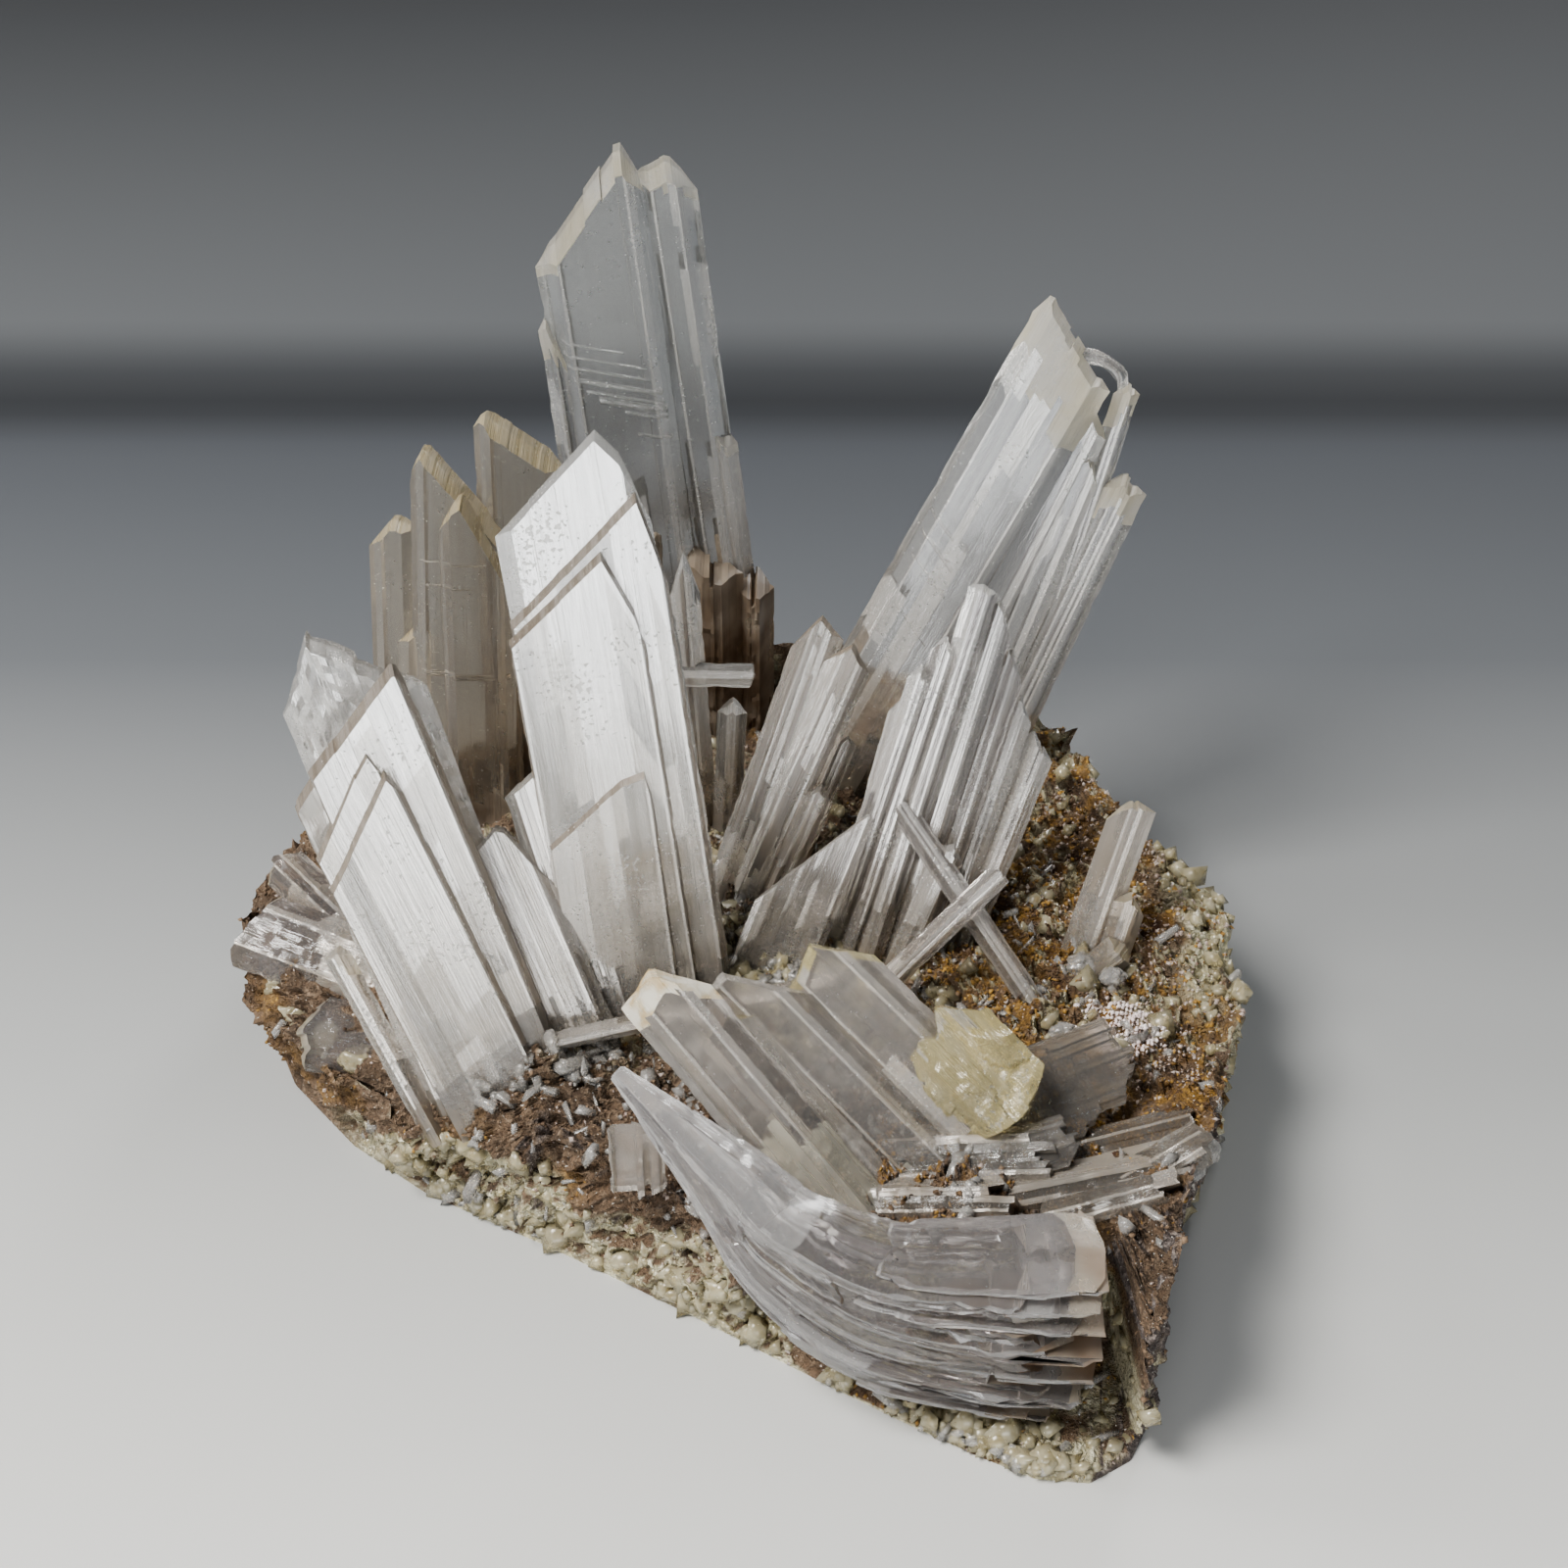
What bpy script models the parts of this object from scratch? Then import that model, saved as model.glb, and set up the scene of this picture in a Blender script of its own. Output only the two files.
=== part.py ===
"""Selenite crystals on an earthy gypsum matrix: a hand specimen that rests on a flat cut underside.

The origin is on the underside below the middle of the specimen. +X is right, +Y is away, +Z is up.
"""
import math

import bmesh
import bpy
from mathutils import Matrix, Vector, noise
from mathutils.geometry import delaunay_2d_cdt

for leftover in list(bpy.data.objects):
    bpy.data.objects.remove(leftover, do_unlink=True)

MM = 0.001
GAP = 0.3               # free space between two nodes that meet
ROOT = 0.4              # how much deeper a socket goes than the foot in it
SPARE = 1.0             # length that the end planes cut off
LEAST_FACE = 0.3        # the broad face's least share of the width
BED_START = (0.35, 0.55)    # a bed's height and depth where it starts, as shares of the full ones
BED_EDGE = 0.4          # the slant of a bed's edges, as a share of its thinner side
FRONT = (0.0, -0.8, 0.6)    # the side most broad faces look to

# Matrix: its underside outline (x, y) and its upper rim (x, y, z), in the same order.
UNDERSIDE = [
    (-51, 8), (-47.5, 0), (-40, -9), (-32, -15.5), (-25, -19.5), (-18.5, -23), (-11, -27.5),
    (-4.5, -31.5), (2.5, -36), (9.5, -40.5), (16, -44.5), (23, -48.5), (28, -51), (33, -51.5),
    (37, -49), (39.5, -44), (40.5, -37), (41.5, -30), (45, -21), (48.5, -13), (52, -2), (52, 8),
    (49, 17), (43, 24), (39, 33), (34, 42), (25, 48), (13, 52), (-2, 53), (-14, 51), (-28, 45),
    (-40, 36), (-46, 27), (-50, 17),
]
RIM = [
    (-54, 9, 15), (-51.5, 0, 13), (-44, -9, 12), (-34, -16, 10), (-26, -19.5, 12),
    (-18.5, -21, 14), (-11, -26, 15), (-4.5, -30.5, 14), (2, -34.5, 11), (9, -38.5, 8),
    (16, -43, 5), (23, -47.5, 4), (29, -50.5, 6), (34.5, -51, 12), (38.5, -48, 20),
    (40.6, -42, 22), (42, -35, 21), (45, -27, 19), (48.5, -18, 19), (50, -11, 17), (52.6, 0, 17),
    (52, 9, 17), (48, 16, 17), (43.5, 22, 18), (40, 31, 18), (37, 41, 18), (28, 46, 19),
    (15, 51, 21), (-1, 53, 22), (-14, 51.5, 19), (-29, 44, 17), (-41, 35.5, 16), (-46.5, 27, 16),
    (-51, 18, 16),
]
TOP_HEIGHT = 17.6       # of the matrix between the crystals
TOP_LUMP = 2.4
TOP_SPACING = 5.2       # between the corners of the facets on top
TOP_BORDER = 2.6        # clear of the rim
LUMP_FLOOR = 0.8        # the lowest that a lump on the side reaches
RIM_BLEND = 9.0         # how far in the rim's own height reaches
TOP_JITTER = 1.6        # how far the corners of the facets stray from their rows
SIDE_LUMP = 0.033       # of the distance from the middle
SIDE_SHARES = (0.35, 0.7)   # how far up the side the rings between underside and rim lie
RIM_STEPS = 2           # points from one corner of the outline to the next
ROW_SHARE = 0.87        # the distance between two rows of corners, as a share of TOP_SPACING


def blade(foot, tip, width, thick, apex=0.0, left=1.0, right=1.0, wedge=0.0, face=FRONT, bevel=0.4):
    """A flat-faced crystal in millimetres, from the middle of its foot to the height of its tip.

    apex is how far the tip is right of the middle line. left and right are the falls of the top edge
    on either side of it, and wedge its fall towards both broad faces. bevel is the width of the
    slanting side faces as a share of the thickness.
    """
    return dict(foot=foot, tip=tip, width=width, thick=thick, apex=apex, left=left, right=right,
                wedge=wedge, face=face, bevel=bevel)


TALL = [
    blade((-8.5, 47.5, 13), (-14.8, 38, 90), 12.8, 6, 3.5, 1.25, 2.2, 0.3),
    blade((0, 48.5, 13), (-7.3, 39.5, 88.5), 6.6, 5, 0.8, 0.4, 1.6, 0.3),
    blade((-15, 48, 16), (-18.5, 40, 71), 4, 4, -1, 1.6, 2.5, 0.3),
    blade((2, 48.5, 13), (-2, 43, 57), 3.4, 4, -1, 1.0, 1.2, 0.2),
    blade((-11, 44.5, 14), (-12.5, 41, 46), 9, 4, 2.5, 0.5, 1.0, 0.2),
    blade((-3, 43.5, 13), (-3, 41.5, 41), 7, 6, -1.5, 0.5, 0.4, 0.1),
    blade((1.5, 45, 13), (1.6, 43, 37), 4.6, 6, 0.5, 0.3, 0.8, 0.1),
]
REAR = [
    blade((-31.5, 30.5, 11), (-28, 31.5, 60), 11, 4.5, -4.1, 2.2, 1.2, 0.2),
    blade((-28.5, 28, 11), (-26.5, 28.5, 56.5), 8.4, 3.6, -1.9, 2.0, 2.0, 0.2),
    blade((-24, 35.5, 12), (-22.3, 34.5, 62.4), 9.6, 5, -3.8, 1.6, 0.75, 0.2),
    blade((-38.8, 32, 11), (-36.7, 36, 49), 5.4, 4, 0, 1.3, 0.4, 0.2),
    blade((-36.5, 30, 11), (-34.5, 33, 38), 5, 4, 0.5, 1.0, 0.8, 0.2),
]
CENTRAL = [
    blade((-7.5, -4, 11), (-16.5, 13.5, 73), 15, 4.6, 4.4, 0.8, 3.3, 0.2),
    blade((-7.5, -5.6, 11), (-15, 9.7, 67.6), 15.6, 3, 6.2, 0.8, 6.0, 0.0),
    blade((-9, -6.6, 11), (-16, 7.2, 63.8), 13, 2.6, 4.7, 0.75, 6.0, 0.0),
    blade((-10, -7.4, 11), (-13.6, 0.8, 43), 11, 2.6, 4.7, 0.75, 6.0, 0.0),
    blade((-1, -5, 11), (-8, 12, 58), 3.4, 4.4, -0.6, 0.5, 2.2, 0.2),
    blade((-13, -12.5, 11), (-24, -1, 36.5), 7.5, 3, 1, 0.5, 3.0, 0.1),
    blade((-11, -9, 11), (-20, 2.5, 41), 6.5, 3, 1, 0.5, 3.0, 0.1),
    blade((10, -7, 21.5), (-17.8, -12.6, 18.5), 2, 4.4, 0, 0.3, 0.3, 0.0),
]
LEFT = [
    blade((-26, -3, 11), (-38.5, 4, 57), 14, 4, -2.2, 1.4, 0.9, 0.2),
    blade((-21.5, -14, 11), (-37, -1.5, 54.5), 12, 4, 5.4, 0.65, 5.0, 0.1),
    blade((-22.5, -15.5, 10), (-38.5, -5.2, 47.8), 9.6, 2.6, 4.1, 0.95, 5.0, 0.0),
    blade((-22, -16.2, 10), (-37, -6.4, 46), 10.4, 3, 4.6, 0.9, 5.0, 0.0),
    blade((-28.5, -8, 10), (-41, -2, 46.5), 6.4, 3.6, 2.4, 0.85, 3.0, 0.1),
    blade((-29.5, -17, 9), (-39, -9.5, 28), 2.6, 3, 0.3, 0.3, 1.2, 0.1),
    blade((-27.5, -16, 9), (-36, -8.5, 31.5), 3.6, 3, -0.3, 0.4, 1.4, 0.1),
]
LEFT_END = [
    blade((-36, -1, 16), (-53, 6.5, 17.5), 8.6, 5, -2, 0.4, 0.5, 0.2, (0.0, -0.6, 0.8)),
    blade((-38, 5, 14), (-50, 13, 22), 5, 5, 0, 0.6, 0.6, 0.2, (0.0, -0.6, 0.8)),
    blade((-36, -6, 12), (-46, -6, 14), 8, 5, 0, 0.4, 0.8, 0.3, (0.0, -0.6, 0.8)),
]
MIDDLE = [
    blade((-2.5, 10, 13), (9.5, 24, 44.5), 5, 3.6, -0.5, 2.2, 0.6, 0.2),
    blade((-1, 9, 13), (12.6, 21, 43), 5, 3.6, -0.4, 1.4, 0.8, 0.2),
    blade((3.5, 11.5, 13), (11.9, 20.6, 31.5), 2.4, 2.4, 0, 1.6, 0.6, 0.2),
    blade((1.5, 8, 13), (9, 14, 30), 3.4, 3, 0, 1.2, 0.8, 0.2),
]
SMALL_BACK = [
    blade((-4, 25, 13), (-5.8, 26, 51), 3.6, 3, 0.4, 3.0, 3.6, 0.3),
    blade((-8, 24, 13), (-8.2, 25, 42), 4, 3, 0, 1.2, 2.0, 0.3),
    blade((-7, 24, 37), (2, 24.5, 36.5), 2.6, 2.6, 0, 0.2, 0.5, 0.2),
    blade((-1.5, 24, 13), (-0.5, 24.5, 33), 3.2, 3, 0, 0.8, 0.8, 0.2),
]
SHEAF = [
    blade((12.5, 0.5, 13), (25.3, 18.2, 52.5), 3.2, 3.6, -0.3, 0.6, 0.4, 0.3),
    blade((10.5, 1.5, 13), (21.8, 15.4, 48.2), 3.0, 3.4, -0.4, 1.8, 1.0, 0.3),
    blade((9, 3, 13), (19.2, 13.3, 46), 2.6, 3.4, -0.3, 1.8, 1.2, 0.3),
    blade((9.5, 5.5, 13), (17.4, 14.3, 41.5), 2.4, 3.4, 0, 1.8, 1.2, 0.3),
    blade((15.5, 1.5, 13), (27.5, 19.2, 50.4), 3.6, 4.0, -0.6, 1.2, 1.6, 0.3),
    blade((18, 2.5, 13), (28.9, 19.4, 44.4), 3.8, 4.0, -0.5, 0.8, 1.6, 0.3),
    blade((20.5, 3.8, 13), (30.1, 18.4, 38.6), 3.2, 3.8, -0.4, 1.8, 1.4, 0.3),
    blade((23, 5.2, 13), (32.3, 17.0, 34.6), 3.6, 3.8, -1.2, 1.6, 0.9, 0.3),
    blade((15.5, -1.2, 13), (22.5, 6, 29), 3.4, 3.4, 0, 0.8, 1.0, 0.2),
    blade((2.4, -1.4, 14), (10.6, 8.0, 32.6), 8.4, 1.8, 3.4, 1.7, 1.0, 0.0),
]
FAN = [
    blade((7.6, 31, 13), (37.1, 42.8, 69.5), 11.2, 5, -4.8, 3.2, 0.55, 0.3),
    blade((17, 31.5, 13), (38.6, 41.8, 60), 6, 4.4, -1.2, 2.4, 0.9, 0.3),
    blade((23, 32, 13), (38, 40.5, 55), 6, 4.4, 0, 0.8, 1.6, 0.3),
    blade((28.5, 31.5, 13), (41.5, 42, 62), 2.8, 3, 0, 1.1, 0.6, 0.3),
    blade((26.5, 32.5, 13), (42, 39.2, 52.6), 5.2, 4.4, -0.3, 1.3, 0.4, 0.3),
]
CROSSING = [
    blade((33, -9.5, 15), (16.6, 8.4, 32.2), 2.6, 2.4, 0.4, 0.2, 1.2, 0.1),
    blade((14, -6.5, 19), (27.3, 1.5, 29), 2.6, 2.6, -0.4, 1.6, 0.2, 0.1),
]
STUB = [
    blade((34.5, 0.5, 12), (41.5, 10.5, 31), 4.6, 4, -0.5, 1.6, 0.3, 0.2),
    blade((37.5, 0, 13), (41, 5, 23), 4, 4, 0, 0.8, 1.0, 0.2),
    blade((34, -1, 14), (40.5, 0.5, 20), 3.6, 4.4, 0, 0.6, 0.8, 0.3),
]
FRONT_BLADES = [
    blade((14, -34, 12), (-8.4, -17.8, 33), 8, 5.5, 0.6, 0.3, 1.5, 0.3),
    blade((20.3, -27.6, 14), (-0.6, -12.8, 29), 8, 5.4, -0.9, 0.3, 1.6, 0.3),
    blade((23.7, -23.4, 18), (6.4, -9.8, 28.6), 9.2, 5.6, 1.0, 0.4, 1.6, 0.2),
    blade((27.5, -24.8, 20), (18, -17, 26), 10.5, 4.6, 0, 0.3, 0.6, 0.2),
    blade((17.2, -30.8, 11.5), (-1.2, -17.6, 26.8), 6, 4, 0, 0.3, 0.9, 0.2),
]
SMOKY = [
    blade((21, -22.5, 17), (39.5, -16, 20.5), 9, 1.8, 0, 0.3, 0.7, 0.0, (0.0, -0.4, 0.9)),
    blade((17, -29.5, 15), (33.5, -26.5, 19), 6, 2.2, 0, 0.4, 0.9, 0.0, (0.0, -0.5, 0.8)),
    blade((19, -26, 15.5), (36, -21.5, 18), 6, 1.8, 0, 0.4, 0.9, 0.0, (0.0, -0.4, 0.9)),
]

# The bent crystal's middle line: x, y, z, half its depth and half its height at each station.
BEND = [
    (-10.4, -28.5, 30.0, 0.7, 0.7), (-5.5, -31.5, 26.4, 1.9, 2.0), (0, -35.0, 22.0, 3.0, 4.0),
    (5.5, -38.5, 17.2, 4.0, 6.2), (14, -41.0, 13.0, 5.0, 7.8), (26, -42.0, 12.0, 6.0, 9.2),
    (35.6, -41.6, 11.6, 6.2, 9.6),
]
# Its beds: the share of the height each one fills, its first station and its shift forwards.
BEDS = [
    (-1.00, -0.62, 3, 0.4), (-0.66, -0.28, 2, -0.3), (-0.32, 0.10, 1, 0.5), (0.06, 0.46, 0, 0.0),
    (0.42, 0.76, 2, -0.7), (0.72, 1.00, 4, -1.6),
]

# The flake is a thin crystal that hangs at the front: its outline in x and z, its place and its lean.
FLAKE_OUTLINE = [
    (0, 0), (4.6, -1.4), (5.6, -4.6), (5.0, -8.2), (3.9, -7.4), (2.6, -8.6), (1.2, -7.9), (0.2, -4.0),
]
FLAKE_PLACE = (-11.6, -28.6, 22.4)
FLAKE_THICK = 1.4
FLAKE_LEAN = -6         # degrees

# Lumps fused to the matrix: x, y, z and the three half sides.
RIM_LUMPS = [
    (-51, 9, 12.5, 3.4, 3.2, 3), (-48.5, 1, 8, 3.4, 3.4, 4.4), (-45, -4, 6, 3, 3.4, 3.6),
    (-38, -10, 7, 5, 3.4, 3.4), (-31, -15, 7, 4.6, 3.6, 4.4), (-25.5, -18.5, 6, 3.4, 3.4, 4.6),
    (-18, -22, 5, 5, 3.6, 4.4), (-9.5, -26.5, 6, 4.6, 3.6, 4.4), (-3, -31, 5, 4, 3.6, 4),
    (3, -35, 4, 4.4, 3.4, 3.6), (11, -40, 3.4, 4.6, 3, 2.8), (18, -44, 3, 4, 2.8, 2.4),
    (26, -48, 3.4, 4.6, 2.8, 3), (33, -48.6, 5, 4, 3, 3.6), (38.5, -41, 10, 2.8, 4.6, 5.6),
    (43, -27.5, 14, 3.4, 4.4, 4.6), (46.5, -18, 14, 3.4, 3.6, 4), (50, -7, 12, 3.4, 4.4, 4.6),
    (50.5, 4, 12, 3.4, 4.6, 5), (47.5, 13, 12, 3.4, 3.4, 4.4), (38.5, 30, 13.6, 3.4, 4.4, 5),
    (34.5, 39.5, 15, 4, 3.4, 4.4), (28, 43.5, 17, 3.6, 3.4, 3.4), (8, 46, 20, 4, 3.2, 3.4),
    (13, 44.5, 20.6, 3.2, 2.8, 3), (4, 46, 22, 3, 2.8, 3.4), (17, 42, 19.6, 3, 3, 3),
    (-44.5, 15, 16.5, 3.6, 3.2, 4), (-43, 9, 17.6, 3.4, 3, 3), (-22, 41, 14.5, 4.4, 3.6, 3),
    (-40.5, -7, 11.5, 3.4, 3, 3), (41, -30, 19.4, 4.4, 3.2, 2.6), (35.5, -35.6, 20.4, 3.8, 2.6, 2),
    (45, -22.5, 18.4, 3.4, 2.8, 2.6), (39.3, -9.2, 17.8, 3.2, 2.6, 2.2), (43.5, -4, 17.2, 3, 3, 2.2),
    (45.5, 4, 17, 3.4, 3, 2.4), (41, 13, 17, 3, 3.4, 2.4), (35, 20, 17.4, 3.2, 3, 2.4),
    (36, 27, 17, 3, 3, 2.8), (28, -12, 17.2, 3, 2.6, 1.8), (33, -32.5, 18.4, 3.2, 3, 2),
    (-14, -21, 14.6, 3.6, 2.6, 2),
]
# Hollows in the matrix: x, y, z and the three half sides.
PITS = [
    (33, -26.5, 18.6, 3.6, 1.8, 2.2), (-40.5, -12.6, 9, 3.2, 2, 2), (-22, -21.5, 11, 3, 2, 2),
    (41.6, -37, 9, 2, 4.4, 2.2), (22, 30, 17.6, 4.6, 3.4, 2), (-16, 27, 17.4, 4.4, 3.6, 2.2),
    (30, 12, 17.6, 3.4, 4, 2), (46, 20, 9, 3.4, 4, 3), (-8, 50.4, 9, 5, 3, 3), (-44, 30, 8, 4, 4, 3),
]
# Loose prisms fused to the matrix: middle, direction, length, width, thickness.
CHIPS = [
    ((32.5, 6, 18.6), (3, 3.4, 0.6), 4.4, 1.8, 1.4), ((38.9, 0.2, 19), (1, 0.3, 0.1), 5, 2.6, 2.2),
    ((30, -3, 18.4), (2, -1, 0.4), 4, 1.6, 1.4),
    ((43, 9, 18.6), (1, 2, 0.8), 4, 2, 1.8), ((47, -10, 17.6), (1, 0.5, 0.6), 4, 2.4, 2),
    ((6, 38, 19.6), (1, 0.3, 1.6), 5, 2.2, 2), ((11, 41, 20), (-0.5, 0.2, 1.6), 5.4, 2.4, 2),
    ((30, 40, 18.6), (0.6, 0.4, 1.4), 5, 2.2, 2), ((-18, 36, 17), (-0.4, 0.3, 1.4), 6, 2.4, 2.2),
    ((-45, 4, 16), (-1, 0.4, 0.6), 6, 2.4, 2.2), ((0, 18, 18), (0.4, -0.2, 1.2), 6, 2.4, 2),
    ((-13, 20, 18), (-0.3, 0.1, 1.4), 7, 2.6, 2), ((20, 22, 18), (0.6, 0.3, 1.4), 7, 2.6, 2),
    ((6, 24, 18), (0.2, 0.4, 1.6), 7, 2.8, 2), ((43, -14, 18), (1, -0.6, 0.5), 4, 2, 1.6),
]


def material(name, colour, roughness):
    made = bpy.data.materials.new(name)
    made.use_nodes = True
    shader = made.node_tree.nodes["Principled BSDF"]
    shader.inputs["Base Color"].default_value = (*colour, 1.0)
    shader.inputs["Roughness"].default_value = roughness
    shader.inputs["Metallic"].default_value = 0.0
    return made


def object_from(bm, name):
    """Makes an object in metres of a bmesh in millimetres."""
    bmesh.ops.recalc_face_normals(bm, faces=bm.faces)
    bmesh.ops.scale(bm, vec=(MM, MM, MM), verts=bm.verts)
    mesh = bpy.data.meshes.new(name)
    bm.to_mesh(mesh)
    bm.free()
    made = bpy.data.objects.new(name, mesh)
    bpy.context.scene.collection.objects.link(made)
    return made


def cut(bm, point, normal):
    """Takes away the side of a plane that its normal points to, and closes the cut with a flat face."""
    bmesh.ops.bisect_plane(
        bm, geom=bm.verts[:] + bm.edges[:] + bm.faces[:], plane_co=point, plane_no=normal,
        clear_outer=True, dist=1e-5)
    rim = [edge for edge in bm.edges if edge.is_boundary]
    if rim:
        bmesh.ops.edgeloop_fill(bm, edges=rim)


def crystal(spec, grow=0.0, name="crystal"):
    """Makes one blade: a six-sided prism whose end planes fall away from the tip."""
    foot = Vector(spec["foot"])
    tip = Vector(spec["tip"])
    along = (tip - foot).normalized()
    facing = Vector(spec["face"])
    facing = (facing - facing.dot(along) * along).normalized()
    across = along.cross(facing)
    half_width = spec["width"] / 2 + grow
    half_thick = spec["thick"] / 2 + grow
    shoulder = half_width - spec["bevel"] * spec["thick"]
    shoulder = max(shoulder, half_width * LEAST_FACE)
    length = (tip - foot).length + grow
    section = [
        (half_width, 0), (shoulder, half_thick), (-shoulder, half_thick),
        (-half_width, 0), (-shoulder, -half_thick), (shoulder, -half_thick),
    ]
    low = -(ROOT + grow) if grow else 0.0
    bm = bmesh.new()
    rings = []
    for height in (low, length + SPARE):
        rings.append([bm.verts.new((u, v, height)) for u, v in section])
    bm.faces.new(rings[0])
    bm.faces.new(rings[1])
    for i in range(6):
        j = (i + 1) % 6
        bm.faces.new((rings[0][i], rings[0][j], rings[1][j], rings[1][i]))
    top = (spec["apex"], 0, length)
    for fall in (-spec["left"], spec["right"]):
        for wedge in (spec["wedge"], -spec["wedge"]):
            cut(bm, top, Vector((fall, wedge, 1.0)).normalized())
            if not spec["wedge"]:
                break
    turn = Matrix((across, facing, along)).transposed().to_4x4()
    bmesh.ops.transform(bm, matrix=Matrix.Translation(foot) @ turn, verts=bm.verts)
    return object_from(bm, name)


def bed(share, grow=0.0, name="bed"):
    """Makes one bed of the bent crystal: a bevelled strip carried along the middle line."""
    low, high, first, shift = share
    bm = bmesh.new()
    rings = []
    stations = BEND[first:]
    for i, (x, y, z, depth, height) in enumerate(stations):
        before = Vector(stations[max(i - 1, 0)][:3])
        after = Vector(stations[min(i + 1, len(stations) - 1)][:3])
        way = (after - before).normalized()
        out = Vector((way.y, -way.x, 0)).normalized()
        up = out.cross(way).normalized()
        if up.z < 0:
            up = -up
        start = i == 0 and first > 0
        middle = Vector((x, y, z)) + out * (shift * min(depth / 4, 1.0))
        centre = middle + up * height * (low + high) / 2
        tall = height * (high - low) / 2 * (BED_START[0] if start else 1.0) + grow
        deep = depth * (BED_START[1] if start else 1.0) + grow
        soft = min(tall, deep) * BED_EDGE
        section = [
            (deep, tall - soft), (deep - soft, tall), (-deep + soft, tall), (-deep, tall - soft),
            (-deep, -tall + soft), (-deep + soft, -tall), (deep - soft, -tall), (deep, -tall + soft),
        ]
        end = -grow if i == 0 else grow if i == len(stations) - 1 else 0.0
        rings.append([bm.verts.new(centre + out * o + up * u + way * end) for o, u in section])
    bm.faces.new(rings[0])
    bm.faces.new(rings[-1])
    for one, two in zip(rings, rings[1:]):
        for i in range(8):
            j = (i + 1) % 8
            bm.faces.new((one[i], one[j], two[j], two[i]))
    bmesh.ops.triangulate(bm, faces=bm.faces[:])
    return object_from(bm, name)


def combine(base, other, operation, solver="EXACT"):
    """Joins or cuts base with other, keeps the result in base and drops other."""
    modifier = base.modifiers.new("combine", "BOOLEAN")
    modifier.operation = operation
    modifier.solver = solver
    modifier.object = other
    other.hide_render = True
    other.display_type = "WIRE"
    graph = bpy.context.evaluated_depsgraph_get()
    mesh = bpy.data.meshes.new_from_object(base.evaluated_get(graph))
    base.modifiers.clear()
    base.data = mesh
    bpy.data.objects.remove(other, do_unlink=True)


def union(parts, name, solver="EXACT"):
    base = parts[0]
    for other in parts[1:]:
        combine(base, other, "UNION", solver)
    base.name = name
    base.data.name = name
    return base


def drop_slivers(thing):
    """Keeps the main body and drops the slivers that a cut left loose beside it."""
    bm = bmesh.new()
    bm.from_mesh(thing.data)
    unseen = set(bm.verts)
    bodies = []
    while unseen:
        body = {unseen.pop()}
        front = list(body)
        while front:
            for edge in front.pop().link_edges:
                for vert in edge.verts:
                    if vert in unseen:
                        unseen.discard(vert)
                        body.add(vert)
                        front.append(vert)
        bodies.append(body)
    main = max(bodies, key=extent)
    loose = [vert for body in bodies if body is not main for vert in body]
    bmesh.ops.delete(bm, geom=loose, context="VERTS")
    bm.to_mesh(thing.data)
    bm.free()


def extent(body):
    """The volume of the box round a set of vertices."""
    sides = [max(v.co[i] for v in body) - min(v.co[i] for v in body) for i in range(3)]
    return sides[0] * sides[1] * sides[2]


def rough(x, y, z, scale, seed):
    return noise.noise(Vector((x * scale + seed, y * scale - seed, z * scale)))


def between(points, steps):
    """Adds evenly spaced points between the corners of a closed outline."""
    out = []
    for i, here in enumerate(points):
        after = points[(i + 1) % len(points)]
        for step in range(steps):
            part = step / steps
            out.append(tuple(a + (b - a) * part for a, b in zip(here, after)))
    return out


def top_height(x, y, rim):
    """The height of the matrix at a place: the rim's own height near it, the middle's further in."""
    near = min(rim, key=lambda p: (p[0] - x) ** 2 + (p[1] - y) ** 2)
    share = min(math.hypot(near[0] - x, near[1] - y) / RIM_BLEND, 1.0)
    height = near[2] + (TOP_HEIGHT - near[2]) * share
    return height + TOP_LUMP * share * rough(x, y, 0, 0.17, 7) + share * rough(x, y, 0, 0.4, 4)


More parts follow.
